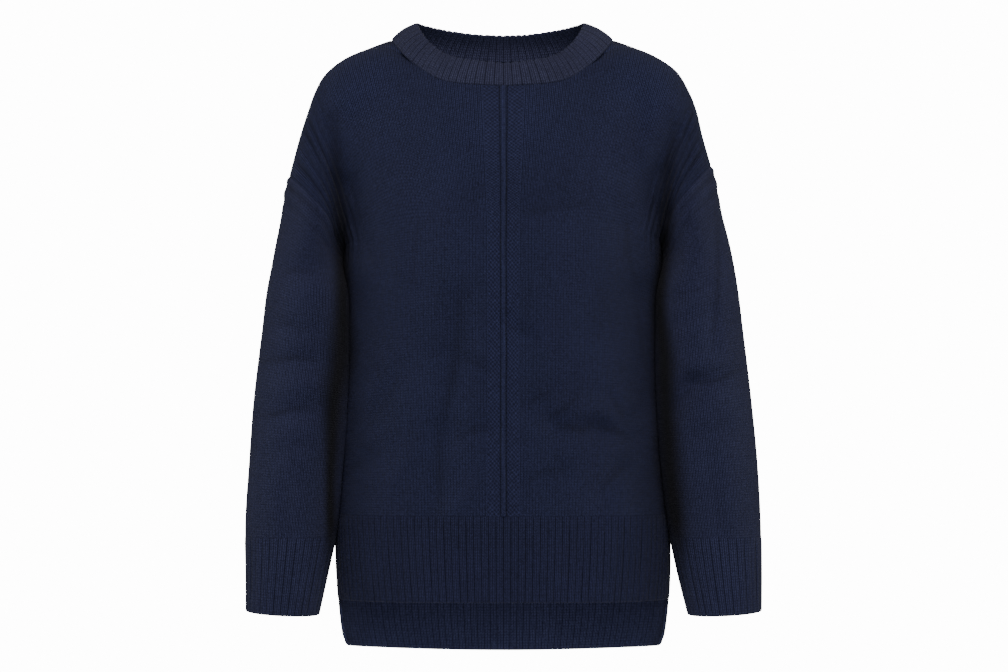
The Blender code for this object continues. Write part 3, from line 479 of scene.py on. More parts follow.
def outer_edge(face, side, row):
    """Outermost column of a panel: along the armhole, then down the side seam."""
    seam = armhole(side, np.clip(row / UNDERARM_ROW, 0.0, 1.0) * np.pi)
    seam[..., 1] = seam[..., 1] * -FACE[face]
    sign = np.full(row.shape, SIGN[side])
    z = row_height(face, sign, np.ones(row.shape), np.maximum(row, UNDERARM_ROW))
    side_seam = stack(sign * torso_half(sign, z), look_up(TORSO, "seam_y", z), z)
    return np.where((row <= UNDERARM_ROW)[..., None], seam, side_seam)


def body_point(face, column, row):
    """Outer surface of a panel: column -1 to 1 from left to right, row 0 to 1 and on into the hem."""
    column, row = np.broadcast_arrays(np.clip(column, -1.0, 1.0), row)
    sign = np.where(column < 0.0, -1.0, 1.0)
    share = np.abs(column)
    points = free_point(face, sign, share, row)
    pull = np.clip((share - ARMHOLE_PULL) / (1.0 - ARMHOLE_PULL), 0.0, 1.0) ** 2
    outermost = free_point(face, sign, np.ones(row.shape), row)
    for side in ("left", "right"):
        mine = np.where(sign == SIGN[side], pull, 0.0)
        points = points + mine[..., None] * (outer_edge(face, side, row) - outermost)
    return points


# ---- sleeves and neckband ------------------------------------------------------------------
def pressed(side, x, y, z, amount):
    """Flattens a sleeve against the body, so that it just clears it."""
    off = y - look_up(TORSO, "seam_y", z)
    depth = np.where(off < 0.0, torso_depth("front", z), torso_depth("back", z))
    inside = np.clip(1.0 - (np.abs(off) / depth) ** TORSO_SQUARENESS, 0.0, 1.0)
    limit = torso_half(SIGN[side], z) * inside ** (1.0 / TORSO_SQUARENESS) + SLEEVE_CLEARANCE
    room = np.abs(x) - limit
    room = (room + np.hypot(room, PRESS_SOFTNESS)) / 2.0
    return x + SIGN[side] * (limit + room - np.abs(x)) * amount


def sleeve_point(side, turn, row):
    """Outer surface of a sleeve: row 0 at the armhole, 1 at the cuff's top, 2 at the cuff's end."""
    turn, row = np.broadcast_arrays(turn, row)
    on_sleeve = np.clip(row, 0.0, 1.0)
    middle = ARMHOLE_MIDDLE[side] + (CUFF_TOP - ARMHOLE_MIDDLE[side]) * on_sleeve
    seam = armhole_height(side, turn) - ARMHOLE_MIDDLE[side]
    z = middle + seam * (1.0 - on_sleeve) ** 2
    end = (CUFF_END["outer"] + CUFF_END["inner"]) / 2.0
    end = end + (CUFF_END["outer"] - CUFF_END["inner"]) / 2.0 * np.cos(turn)
    z = z + (end - CUFF_TOP) * np.clip(row - 1.0, 0.0, 1.0)
    centre, width, depth, forward = arm_section(side, z)
    x = SIGN[side] * (centre + width * np.cos(turn))
    face = np.sin(turn)
    relief = np.where(face > 0.0, fold_height(side + "_front", x, z), fold_height(side + "_back", x, z))
    depth = depth + relief * np.abs(face) * smooth_step(on_sleeve / CREASED_FROM)
    y = -forward - depth * face
    return stack(pressed(side, x, y, z, smooth_step(on_sleeve / PRESSED_FROM)), y, z)


# ---- yarn and light ------------------------------------------------------------------------
# Linear colours of the yarn: at its darkest, in flecks and in the painted shade of its stitch hollows, and
# on its lit fibres.
# They differ by piece, because they are matched to the brightness of each part of the photo: painted light
# and shade, as lit and shaded copies of one yarn; the band and the back hem are painted lighter for the
# light on their insides.
YARNS = {"panel": ((0.0009, 0.0013, 0.0056), (0.0125, 0.0163, 0.0485)),
         "sleeve": ((0.0012, 0.0017, 0.0068), (0.0168, 0.0205, 0.0550)),
         "rib": ((0.0008, 0.0012, 0.0050), (0.0103, 0.0131, 0.0392)),
         "cuff": ((0.0011, 0.0015, 0.0062), (0.0150, 0.0184, 0.0492)),
         "back_hem": ((0.0018, 0.0025, 0.0100), (0.0282, 0.0340, 0.0840)),
         "band": ((0.0037, 0.0046, 0.0140), (0.0345, 0.0398, 0.0890))}
RIBBED = ("rib", "cuff", "back_hem", "band")
STITCH_DEPTH = {"plain": 0.0010, "ribbed": 0.0006}  # height of the stitches in the bump
DEEPEST_PAINTED_SHADE = (0.0002, 0.0003, 0.0007)  # colour of the painted shade at the bottom of a fold
LEG_SLANT = 0.62         # rise of a stitch's leg, in rows
STITCH_ROUND = 0.6       # 1 is a sine across a stitch, less is flatter on top
KNOTS = (0.32, 0.42)     # swing and mean of the height of the seed stitch's knots
KNOT_NOISE = (160.0, 4.4)  # scale and reach of the noise that shifts them
CHAIN = (0.45, 0.36)     # swing and least height of the chain on the centre rib
STITCH_PAINTED_SHADE = (1.7, 0.10)  # painted light and shade by stitch height: how much lighter the yarn is on top of a stitch, and how light it is below
RIB_GROOVE_PAINTED_SHADE = (0.55, 0.45)  # the same painted shade across the ribs
FOLD_SHADE = 0.97        # how dark the painted shade gets where it is full, as in the deepest fold
FLECKS = 0.9             # contrast of the flecks in the yarn
DYE = 0.3                # contrast of its slow unevenness
FUZZ = 0.12              # height of the fuzz, as a share of a stitch's
ROUGHNESS = 0.85
SPECULAR = 0.08
SHEEN = 0.02
SHEEN_ROUGHNESS = 0.45
SHEEN_TINT = (0.55, 0.62, 0.85, 1.0)
FIBRES = {"columns": ("pattern", "scale", "detail", "roughness"), "rows": (
    ("Fuzz", 900.0, 3.0, 0.7),
    ("Fleck", 420.0, 2.0, 0.6),
    ("Dye", 14.0, 3.0, 0.6))}
BACKDROP = 14.0          # brightness of the surroundings as the camera sees them
AMBIENT = 0.38           # brightness of the same as they light the cloth
LIGHTS = {"columns": ("name", "place", "size", "watts", "colour"), "rows": (
    ("soft_left", (-2.6, 0.05, 0.10), (1.0, 1.6), 20.0, (1.0, 1.0, 1.0)),
    ("soft_right", (2.6, 0.05, 0.10), (1.0, 1.6), 15.0, (1.0, 1.0, 1.0)),
    ("soft_front", (0.15, -3.3, 0.25), (1.5, 1.0), 48.0, (1.0, 0.98, 0.96)),
    ("soft_low", (0.00, -3.0, -0.90), (1.4, 0.4), 16.0, (1.0, 1.0, 1.0)),
    ("soft_top", (0.1, -1.8, 1.70), (1.5, 0.9), 92.0, (1.0, 0.87, 0.77)),
    ("soft_back", (0.2, 3.2, 0.50), (1.6, 1.2), 80.0, (1.0, 0.98, 0.96)))}
LIT_PLACE = (0.0, 0.0, -0.30)  # where every light points
FLOOR = -1.05            # height of the floor
FLOOR_SIDE = 2.6         # how far it reaches left, right and forward; half as far behind
FLOOR_GREY = 0.85
FLOOR_ROUGHNESS = 0.9

PANEL_WALES = 0.260      # flat width of the stitches of half a panel
SLEEVE_WALES = 92.0      # columns of stitches around a sleeve
WALE = 0.0034            # width of one column of stitches
COURSE = 0.0027          # height of one row of stitches
RIB_COURSE = 0.0030      # the same in the ribs
PANEL_LINES = 131        # grid lines from the middle of the back to its side
FINE_LINES = (0.0085, 0.0007)  # how far the finer lines at the centre rib reach, and their pitch
FINE_STEP = 0.008        # share of half the front from the last of those lines to the next
FRONT_LINES = 120        # lines from there to the side
PANEL_ROWS = (73, 101)   # grid rows above and below the underarm
SLEEVE_LINES = 161       # grid lines around a sleeve, and rows down it
RIB_LINES = 8            # grid lines to a rib of a hem or cuff
BAND_LINES = 10          # the same on the neckband
RIB_ROWS = 30            # grid rows of a hem or cuff
BAND_ROWS = 17
CORNER_EVENING = (0.9, 60)  # how strongly and how often the columns at the neckband's ends are evened
EDGE_STEPS = (0.12, 0.40)  # where lines are added at an edge, as shares of a step
EDGE_REACH = 0.0022      # distance over which the edge of a piece is rounded
EDGE_TAPER = 0.30        # share of the thickness left at the edge of a piece
INNER_RELIEF = 0.6       # share of the outside's relief that the inside has
RIB_HEIGHT = 0.0011      # how far the visible ribs stand out
RIB_GROOVE = 0.16        # width of the groove between two ribs, as a share of their pitch
RIB_SHADE = 0.15         # how dark the painted shade in that groove is
RIB_SLANT = 0.045        # how far the ribs of a hem lean inward on their way down
BAND_HEIGHT = 0.70       # height of the neckband's ribs, as a share of the others'
BAND_GROOVE = 0.23       # width of their groove, as a share of their pitch
BAND_SHADE = 0.08        # how dark the painted shade in that groove is
BAND_SCALLOP = 0.0009    # how far those ribs push out the rim
SEED = 0.0023            # pitch of the knots beside the centre rib
SEED_BAND = (0.0038, 0.0190)  # where those knots start and end, from the middle of the front
CHAIN_EDGE = 0.0024      # half width of the plain chain of stitches on the centre rib
CENTRE_HEIGHT = 0.0024   # how far the centre rib stands out
CENTRE_REACH = 0.0020    # half its width
CENTRE_GROOVE = (0.0031, 0.0010, 0.0006)  # grooves beside it: place, width and depth
GROOVE_SIDES = (0.7, 1.0)  # how much of that depth the left and the right one have
GROOVE_SHADE = 0.40      # how dark their painted shade is
STREAK_ACROSS = (0.62, 0.22, 0.03)  # streaks: where on half a panel they start, their rise and their end
STREAK_DOWN = (0.02, 0.10, 0.50, 0.22)  # the same by rows: start and over how much, end and over how much
STREAK_WAVES = (131.0, 47.0)  # how fast the streaks and their unevenness follow each other
STREAK_HEIGHT = 0.0018   # how far the bunched cloth beside the armholes stands out and dips in
STREAK_SHADE = 0.42      # how dark the painted shade is where it dips
SLEEVE_SWELL = 0.0018    # how far a sleeve swells below the armhole
ROLL_HEIGHT = 0.0007     # height of the small rolls there
ROLL_SHADE = 0.30        # how dark the painted shade is between them
BAND_OUTSIDE_PAINTED_SHADE = 0.42      # how much darker the outside of the neckband is than its inside: painted shade outside, so the lighter yarn paints light inside
BACK_HEM_OUTSIDE_PAINTED_SHADE = 0.55  # the same painted shade for the back hem, whose inside shows below the front hem
WIDE_SHADE = 0.22        # weaker painted shade around the fold between an arm and the body
WIDE_REACH = 0.036       # distance over which that painted shade fades
CREASE_SHADE = 0.33      # how dark the painted shade at the bottom of a trough of full depth is
CREASE_DEPTH = 0.005     # full depth of a trough
CREASE_WIDTH = 0.30      # width of that painted shade, as a share of the trough's
CREASE_BEND = 0.0022     # how far its line wanders

# Painted shade of the deep fold between each arm and the body, seen from the front: its distance left and
# right of the middle, how far its painted shade reaches on the left and on the right, and how dark it is.
VALLEY = {"columns": ("z", "left", "right", "reach_left", "reach_right", "shade"), "rows": (
    (-0.060, 0.186, 0.186, 0.0070, 0.0070, 0.00),
    (-0.100, 0.182, 0.183, 0.0080, 0.0080, 0.35),
    (-0.145, 0.180, 0.177, 0.0090, 0.0090, 0.65),
    (-0.187, 0.176, 0.176, 0.0095, 0.0095, 0.85),
    (-0.231, 0.175, 0.174, 0.0095, 0.0095, 0.95),
    (-0.275, 0.174, 0.169, 0.0100, 0.0090, 1.00),
    (-0.341, 0.176, 0.174, 0.0155, 0.0125, 1.00),
    (-0.385, 0.183, 0.175, 0.0130, 0.0125, 1.00),
    (-0.429, 0.185, 0.178, 0.0090, 0.0140, 1.00),
    (-0.473, 0.187, 0.181, 0.0066, 0.0145, 1.00),
    (-0.517, 0.187, 0.186, 0.0062, 0.0120, 1.00),
    (-0.570, 0.188, 0.190, 0.0060, 0.0080, 0.30),
    (-0.620, 0.188, 0.190, 0.0060, 0.0070, 0.00))}


# ---- building the visible cloth ------------------------------------------------------------
def ridge(phase, along, groove=RIB_GROOVE):
    """Wide ribs with narrow grooves: 0 in a groove, 1 on a rib; the phase grows by 1 a rib.

    No two grooves are alike: each wanders a little on its way and has its own depth.
    """
    number = np.round(phase)
    wander = 0.07 * np.sin(number * 2.4 + along * 3.1) + 0.05 * np.sin(number * 5.3 - along * 7.0)
    depth = 0.72 + 0.28 * np.sin(number * 12.9 + np.sin(number * 3.7) * 2.0 + along * 1.7)
    off = np.abs(phase + wander - number)
    return 1.0 - depth * np.exp(-(off / groove) ** 2)


def edge_lines(values):
    """Adds lines close to both ends of a list of rows or columns, for the rounded edge."""
    values = list(values)
    first = values[1] - values[0]
    last = values[-1] - values[-2]
    extra = [values[0] + first * share for share in EDGE_STEPS]
    extra += [values[-1] - last * share for share in EDGE_STEPS]
    return np.array(sorted(values + extra))


def grid_normal(points, is_tube, flip):
    """Outward direction of a grid of points, from its neighbours."""
    if is_tube:
        across = np.roll(points, -1, axis=1) - np.roll(points, 1, axis=1)
    else:
        across = np.gradient(points, axis=1)
    down = np.gradient(points, axis=0)
    return unit(np.cross(across, down)) * flip


def smoothed(normal, is_tube, rounds):
    """Averages the directions of a grid with their neighbours, and keeps them at its edges."""
    for _ in range(rounds):
        wide = np.pad(normal, ((1, 1), (0, 0), (0, 0)), mode="edge")
        side = np.pad(normal, ((0, 0), (1, 1), (0, 0)), mode="wrap" if is_tube else "edge")
        mean = wide[:-2] + wide[2:] + side[:, :-2] + side[:, 2:] + normal * 2.0
        mean = unit(mean)
        mean[0] = normal[0]
        mean[-1] = normal[-1]
        if not is_tube:
            mean[:, 0] = normal[:, 0]
            mean[:, -1] = normal[:, -1]
        normal = mean
    return normal


def edge_share(points, is_tube, reach):
    """0 at the edges of a grid, 1 from the given distance inward."""
    step = np.linalg.norm(np.diff(points, axis=0), axis=-1)
    down = np.concatenate((np.zeros((1, points.shape[1])), np.cumsum(step, axis=0)))
    near = np.minimum(down, down[-1] - down)
    if not is_tube:
        step = np.linalg.norm(np.diff(points, axis=1), axis=-1)
        side = np.concatenate((np.zeros((points.shape[0], 1)), np.cumsum(step, axis=1)), axis=1)
        near = np.minimum(near, np.minimum(side, side[:, -1:] - side))
    return np.sqrt(1.0 - (1.0 - np.clip(near / reach, 0.0, 1.0)) ** 2)


def valley_shade(points):
    """How dark the painted shade of the fold between an arm and the body is at a point, 0 to 1."""
    x = points[..., 0]
    z = points[..., 2]
    line = by_side(x, look_up(VALLEY, "left", z), look_up(VALLEY, "right", z))
    off = np.abs(np.abs(x) - line)
    reach = by_side(x, look_up(VALLEY, "reach_left", z), look_up(VALLEY, "reach_right", z))
    narrow = np.exp(-(off / reach) ** 2)
    # Painted shade: full along the fold's line, with a weaker painted shade fading around it.
    return look_up(VALLEY, "shade", z) * np.maximum(narrow, WIDE_SHADE * np.exp(-off / WIDE_REACH))


def crease_shade(face, points):
    """Painted shade: dark lines along the bottoms of the troughs of one face, which fade out at their ends.
    """
    x = points[..., 0]
    z = points[..., 2]
    dark = np.zeros(x.shape)
    for name, x0, z0, x1, z1, width, height in FOLDS["rows"] + CREASES["rows"]:
        if name != face or height > 0.0:
            continue
        run = np.hypot(x1 - x0, z1 - z0)
        along = ((x - x0) * (x1 - x0) + (z - z0) * (z1 - z0)) / run ** 2
        bend = CREASE_BEND * np.sin(along * 5.0 + x0 * 90.0)
        off = ((x - x0) * (z1 - z0) - (z - z0) * (x1 - x0)) / run - bend
        line = np.exp(-(off / (width * CREASE_WIDTH)) ** 2 - np.abs(along * 2.0 - 1.0) ** 4)
        dark = np.maximum(dark, line * min(-height / CREASE_DEPTH, 1.0))
    return CREASE_SHADE * dark


def edge_strip(first, second, count, stitch, turned):
    """Faces between the outer and the inner points of an edge, each at one place of the stitches."""
    strip = np.stack((first, second, second + count, first + count), -1)
    place = np.stack([values.ravel()[first] for values in stitch], -1)
    return strip[:, ::-1] if turned else strip, np.repeat(place[:, None, :], 4, axis=1)


def cloth_faces(stitch, is_tube):
    """Faces of both sides and of the edges of a piece, and the place of the stitches at each corner."""
    u, v = stitch
    rows, columns = u.shape
    count = rows * columns
    span = columns if is_tube else columns - 1
    i, j = np.meshgrid(np.arange(rows - 1), np.arange(span), indexing="ij")
    k = (j + 1) % columns
    front = np.stack((i * columns + j, i * columns + k, (i + 1) * columns + k, (i + 1) * columns + j), -1)
    front = front.reshape(-1, 4)
    u_next = np.concatenate((u[:, 1:], u[:, :1] + u[:, -1:] + (u[:, -1:] - u[:, -2:-1])), axis=1)
    v_next = np.concatenate((v[:, 1:], v[:, :1]), axis=1)
    here = np.stack((u[i, j], v[i, j]), -1).reshape(-1, 2)
    beside = np.stack((u_next[i, j], v_next[i, j]), -1).reshape(-1, 2)
    beside_low = np.stack((u_next[i + 1, j], v_next[i + 1, j]), -1).reshape(-1, 2)
    below = np.stack((u[i + 1, j], v[i + 1, j]), -1).reshape(-1, 2)
    front_map = np.stack((here, beside, beside_low, below), 1)
    faces = [front, front[:, ::-1] + count]
    maps = [front_map, front_map[:, ::-1]]
    place = np.arange(span)
    edges = [(line + place, line + (place + 1) % columns, line == 0) for line in (0, count - columns)]
    if not is_tube:
        line = np.arange(rows - 1) * columns
        edges += [(line + end, line + columns + end, end > 0) for end in (0, columns - 1)]
    for first, second, turned in edges:
        strip, strip_map = edge_strip(first, second, count, stitch, turned)
        faces.append(strip)
        maps.append(strip_map)
    return np.concatenate(faces), np.concatenate(maps)


def build_cloth(name, points, normal, relief, stitch, is_tube, rounded, painted_hollow_shade, outside=0.0):
    """Thin closed shell: raised outer points, inner points that follow the ribs, rounded edges.

    The edges are rounded where a grid of shares says so. The painted shade of the folds, of the hollows
    in the stitches and of a piece's outer side is kept in an attribute.
    """
    taper = edge_share(points, is_tube, EDGE_REACH)
    taper = (1.0 - rounded * (1.0 - EDGE_TAPER) * (1.0 - taper))[..., None]
    half = wall_thickness(points)[..., None] / 2.0
    middle = points - normal * half
    height = relief[..., None] * taper
    outer = middle + normal * (half * taper + height)
    inner = middle - normal * (half * taper - height * INNER_RELIEF)
    vertices = np.concatenate((outer.reshape(-1, 3), inner.reshape(-1, 3)))
    faces, maps = cloth_faces(stitch, is_tube)
    a, b, c, d = (vertices[faces[:, corner]] for corner in range(4))
    volume = np.sum(np.cross(b - a, c - a) * a) + np.sum(np.cross(c - a, d - a) * a)
    if volume < 0.0:
        faces = faces[:, ::-1]
        maps = maps[:, ::-1]
    mesh = bpy.data.meshes.new(name)
    mesh.from_pydata(vertices, [], faces)
    layer = mesh.uv_layers.new(name="stitches")
    layer.data.foreach_set("uv", np.ascontiguousarray(maps, dtype=np.float32).ravel())
    # Painted shade: the fold between arm and body and the hollows darken both sides; the outer side also
    # gets the painted shade given by outside.
    shade = np.clip(np.maximum(valley_shade(points), painted_hollow_shade), 0.0, 1.0).ravel()
    outer_painted_shade = outside + (1.0 - outside) * shade
    kept = mesh.attributes.new("shade", "FLOAT", "POINT")
    kept.data.foreach_set("value", np.concatenate((outer_painted_shade, shade)).astype(np.float32))
    mesh.shade_smooth()
    mesh.update()
    piece = bpy.data.objects.new(name, mesh)
    bpy.context.scene.collection.objects.link(piece)
    return piece


def arc_rows(points):
    """Mean length of cloth from the first row to each row."""
    step = np.linalg.norm(np.diff(points, axis=0), axis=-1).mean(axis=1)
    return np.concatenate(([0.0], np.cumsum(step)))


def finish_piece(piece, node, material):
    """Gives a piece its yarn, hides the solid that it stands for and hangs it from the root body."""
    piece.data.materials.append(material)
    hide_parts(node)
    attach(piece, "root")


# ---- panels and hems -----------------------------------------------------------------------
def relaxed(points, weight, rounds):
    """Evens the columns of a grid where the weight says so, with its edges kept."""
    for _ in range(rounds):
        beside = (points[1:-1, :-2] + points[1:-1, 2:]) / 2.0
        move = (beside - points[1:-1, 1:-1]) * weight[1:-1, 1:-1, None]
        points[1:-1, 1:-1] = points[1:-1, 1:-1] + move
    return points


def panel_grid(face, columns, rows):
    """Columns, rows, points and outward directions of a panel or of its hem."""
    column, row = np.meshgrid(columns, rows)
    points = body_point(face, column, row)
    near_corner = np.exp(-((np.abs(column) - NECK_SHARE) / 0.09) ** 2)
    strength, rounds = CORNER_EVENING
    points = relaxed(points, near_corner * smooth_step((0.9 - row) / 0.2) * strength, rounds)
    normal = grid_normal(points, False, FACE[face])
    edge = body_normal_edges(face, column, row, normal)
    return column, row, points, smoothed(edge, False, 3)


def body_normal_edges(face, column, row, normal):
    """Replaces the directions along the seams by the ones that both pieces share."""
    share = np.abs(column)
    sign = np.where(column < 0.0, -1.0, 1.0)
    for side in ("left", "right"):
        seam = armhole_normal(side, np.clip(row / UNDERARM_ROW, 0.0, 1.0) * np.pi)
        seam[..., 1] = seam[..., 1] * -FACE[face]
        below = row > UNDERARM_ROW + 1e-6
        seam = np.where(below[..., None], np.array([SIGN[side], 0.0, 0.0]), seam)
        mine = (share > 0.9999) & (sign == SIGN[side])
        normal = np.where(mine[..., None], seam, normal)
    on_top = row < 1e-6
    along = np.clip((share - NECK_SHARE) / (1.0 - NECK_SHARE), 0.0, 1.0)
    for side in ("left", "right"):
        on_fold = on_top & (share > NECK_SHARE) & (share <= 0.9999) & (sign == SIGN[side])
        normal = np.where(on_fold[..., None], shoulder_normal(side, along), normal)
    band = neck_normal(sign * neck_angle(face, np.clip(share / NECK_SHARE, 0.0, 1.0)))
    on_neck = on_top & (share <= NECK_SHARE)
    return np.where(on_neck[..., None], band, normal)


def streaks(column, row):
    """Slanting ridges of bunched cloth beside the armholes, uneven from one to the next."""
    share = np.abs(column)
    first, rise, last = STREAK_ACROSS
    outward = smooth_step((share - first) / rise) * smooth_step((1.0 - share) / last)
    top, fade_in, bottom, fade_out = STREAK_DOWN
    high = smooth_step((row - top) / fade_in) * smooth_step((bottom - row) / fade_out)
    wave = np.sin(share * STREAK_WAVES[0] + np.sign(column) * 1.3 + row * 2.0)
    wave = wave * (0.75 + 0.25 * np.sin(share * STREAK_WAVES[1] + row * 9.0 + column))
    return wave * outward * high


def centre_band(column, length):
    """Raised centre rib, which wavers and swells a little, and the grooves beside it."""
    place = column * PANEL_WALES + 0.0004 * np.sin(length * 34.0) + 0.0003 * np.sin(length * 91.0)
    off = np.abs(place)
    swell = 1.0 + 0.14 * np.sin(length * 790.0) + 0.10 * np.sin(length * 210.0)
    rib = CENTRE_HEIGHT * swell * np.exp(-(off / CENTRE_REACH) ** 4)
    middle, width, depth = CENTRE_GROOVE
    groove = np.exp(-((off - middle) / width) ** 2) * by_side(column, *GROOVE_SIDES)
    return rib - depth * groove, groove


def panel_columns(face):
    """Columns of a panel from side to side, closer at the centre rib of the front."""
    columns = np.linspace(0.0, 1.0, PANEL_LINES)
    if face == "front":
        near = np.arange(0.0, *FINE_LINES) / PANEL_WALES
        far = np.linspace(near[-1] + FINE_STEP, 1.0, FRONT_LINES)
        columns = np.concatenate((near, far))
    return edge_lines(np.concatenate((-columns[:0:-1], columns)))


def build_panel(face):
    """The stockinette front or back, with the centre rib on the front."""
    above = np.linspace(0.0, UNDERARM_ROW, PANEL_ROWS[0])
    below = np.linspace(UNDERARM_ROW, 1.0, PANEL_ROWS[1])
    rows = edge_lines(np.concatenate((above, below[1:])))
    column, row, points, normal = panel_grid(face, panel_columns(face), rows)
    v = np.broadcast_to(arc_rows(points)[:, None], column.shape)
    share = np.abs(column)
    at_neck = smooth_step((NECK_SHARE + 0.02 - share) / 0.04) * smooth_step((0.2 - row) / 0.1)
    at_arm = smooth_step((share - 0.9) / 0.05) * smooth_step((UNDERARM_ROW + 0.01 - row) / 0.02)
    bunched = streaks(column, row)
    relief = STREAK_HEIGHT * bunched
    # Painted shade in the dips of the streaks and along the creases; on the front also in the centre rib's
    # grooves.
    painted_hollow_shade = STREAK_SHADE * np.clip(-bunched, 0.0, 1.0) + crease_shade(face, points)
    if face == "front":
        rib, groove = centre_band(column, v)
        relief = relief + rib
        painted_hollow_shade = np.maximum(painted_hollow_shade, GROOVE_SHADE * groove)
    rounded = np.maximum(at_neck, at_arm)
    stitch = (column * PANEL_WALES, v)
    return build_cloth(face + "_panel_knit", points, normal, relief, stitch, False, rounded, painted_hollow_shade)


def rib_edges(row):
    """How much the ribs of a hem or cuff show in a row, and how rounded its edge is."""
    return smooth_step((row - 0.98) / 0.12), smooth_step((row - 1.05) / 0.2)


def build_hem(face):
    """The ribbed hem of the front or back."""
    rows = edge_lines(np.linspace(1.0, 2.0, RIB_ROWS))
    columns = edge_lines(np.linspace(-1.0, 1.0, RIB_LINES * HEM_RIBS + 1))
    column, row, points, normal = panel_grid(face, columns, rows)
    phase = column * (1.0 + RIB_SLANT * (row - 1.0)) * HEM_RIBS / 2.0
    fade, rounded = rib_edges(row)
    ribs = ridge(phase, row)
    v = np.broadcast_to(arc_rows(points)[:, None], column.shape)
    stitch = (phase * 2.0 * WALE, v)
    # Painted shade in the grooves between the ribs.
    painted_hollow_shade = RIB_SHADE * (1.0 - ribs) * fade
    relief = RIB_HEIGHT * ribs * fade
    # The back hem's outside gets painted shade, so that its lighter yarn paints light only on the inside
    # that shows below the front hem.
    outside = BACK_HEM_OUTSIDE_PAINTED_SHADE if face == "back" else 0.0
    return build_cloth(face + "_hem_knit", points, normal, relief, stitch, False, rounded, painted_hollow_shade, outside)


# ---- sleeves, cuffs and neckband -----------------------------------------------------------
def build_sleeve(side):
    """A stockinette sleeve, which swells and bunches a little below the armhole."""
    turns = np.linspace(0.0, 2.0 * np.pi, SLEEVE_LINES)[:-1]
    rows = edge_lines(np.linspace(0.0, 1.0, SLEEVE_LINES))
    turn, row = np.meshgrid(turns, rows)
    points = sleeve_point(side, turn, row)
    normal = grid_normal(points, True, SIGN[side])
    normal[0] = armhole_normal(side, turn[0])
    normal = smoothed(normal, True, 3)
    v = np.broadcast_to(arc_rows(points)[:, None], turn.shape)
    u = turn / (2.0 * np.pi) * SLEEVE_WALES * WALE
    outward = np.clip(np.cos(turn) + 0.6, 0.0, 1.0)
    below_seam = smooth_step(row / 0.012) * smooth_step((0.14 - row) / 0.13)
    rolls = np.sin(row * 150.0 + 1.0) * smooth_step(row / 0.02) * smooth_step((0.11 - row) / 0.07)
    relief = SLEEVE_SWELL * outward * below_seam + ROLL_HEIGHT * rolls
    front = points[..., 1] < 0.0
    # Painted shade along the sleeve's creases, from the front or the back table.
    crease_painted_shade = np.where(front, crease_shade(side + "_front", points), crease_shade(side + "_back", points))
    # Painted shade between the small rolls below the armhole, added to the painted shade of the creases.
    painted_hollow_shade = ROLL_SHADE * np.clip(-rolls, 0.0, 1.0) + crease_painted_shade
    rounded = smooth_step((0.5 - row) / 0.2)
    return build_cloth(side + "_sleeve_knit", points, normal, relief, (u, v), True, rounded, painted_hollow_shade)


def build_cuff(side):
    """The ribbed cuff of a sleeve."""
    turns = np.linspace(0.0, 2.0 * np.pi, RIB_LINES * CUFF_RIBS + 1)[:-1]
    rows = edge_lines(np.linspace(1.0, 2.0, RIB_ROWS))
    turn, row = np.meshgrid(turns, rows)
    points = sleeve_point(side, turn, row)
    normal = smoothed(grid_normal(points, True, SIGN[side]), True, 2)
    phase = turn / (2.0 * np.pi) * CUFF_RIBS
    fade, rounded = rib_edges(row)
    ribs = ridge(phase, row)
    v = np.broadcast_to(arc_rows(points)[:, None], turn.shape)
    # Painted shade in the grooves between the ribs.
    painted_hollow_shade = RIB_SHADE * (1.0 - ribs) * fade
    stitch = (phase * 2.0 * WALE, v)
    relief = RIB_HEIGHT * (ribs - 0.5) * fade
    return build_cloth(side + "_cuff_knit", points, normal, relief, stitch, True, rounded, painted_hollow_shade)


def build_band():
    """The ribbed neckband, whose ribs push its rim into small scallops."""
    angles = -180.0 + np.arange(BAND_LINES * NECK_RIBS) * 360.0 / (BAND_LINES * NECK_RIBS)
    rows = edge_lines(np.linspace(0.0, 1.0, BAND_ROWS))
    angle, row = np.meshgrid(angles, rows)
    phase = (angle + 180.0) / 360.0 * NECK_RIBS
    seam = neck_point(angle, "seam")
    rim = neck_point(angle, "rim")
    normal = neck_normal(angle)
    ribs = ridge(phase, row, BAND_GROOVE)
    rim = rim + unit(rim - seam) * (BAND_SCALLOP * (ribs - 0.6))[..., None]
    points = seam + (rim - seam) * row[..., None]
    points = points + normal * (NECK_BULGE * np.sin(row * np.pi))[..., None]
    fade = 0.3 + 0.7 * smooth_step(row / 0.10)
    relief = BAND_HEIGHT * RIB_HEIGHT * (ribs - 0.3) * fade
    v = np.broadcast_to(arc_rows(points)[:, None], angle.shape)
    stitch = (phase * 2.0 * WALE, v)
    rounded = np.ones(angle.shape)
    # Painted shade in the grooves between the ribs.
    painted_hollow_shade = BAND_SHADE * (1.0 - ribs) * fade
    # The neckband's outside gets painted shade, so that its lighter yarn paints light only on its inside.
    return build_cloth("neckband_knit", points, normal, relief, stitch, True, rounded, painted_hollow_shade, BAND_OUTSIDE_PAINTED_SHADE)


# ---- materials -----------------------------------------------------------------------------
def new_group(name, inputs, outputs):
    """A node group with float outputs, its input node and its output node."""
    group = bpy.data.node_groups.new(name, "ShaderNodeTree")
    for socket, kind, value in inputs:
        item = group.interface.new_socket(name=socket, in_out="INPUT", socket_type=kind)
        if value is not None:
            item.default_value = value
    for socket in outputs:
        group.interface.new_socket(name=socket, in_out="OUTPUT", socket_type="NodeSocketFloat")
    start = group.nodes.new("NodeGroupInput")
    end = group.nodes.new("NodeGroupOutput")
    return group, start, end


def compute(tree, operation, *values):
    """A Math node; each value is a number or another node's output."""
    node = tree.nodes.new("ShaderNodeMath")
    node.operation = operation
    for index, value in enumerate(values):
        if isinstance(value, (int, float)):
            node.inputs[index].default_value = value
        else:
            tree.links.new(value, node.inputs[index])
    return node.outputs[0]


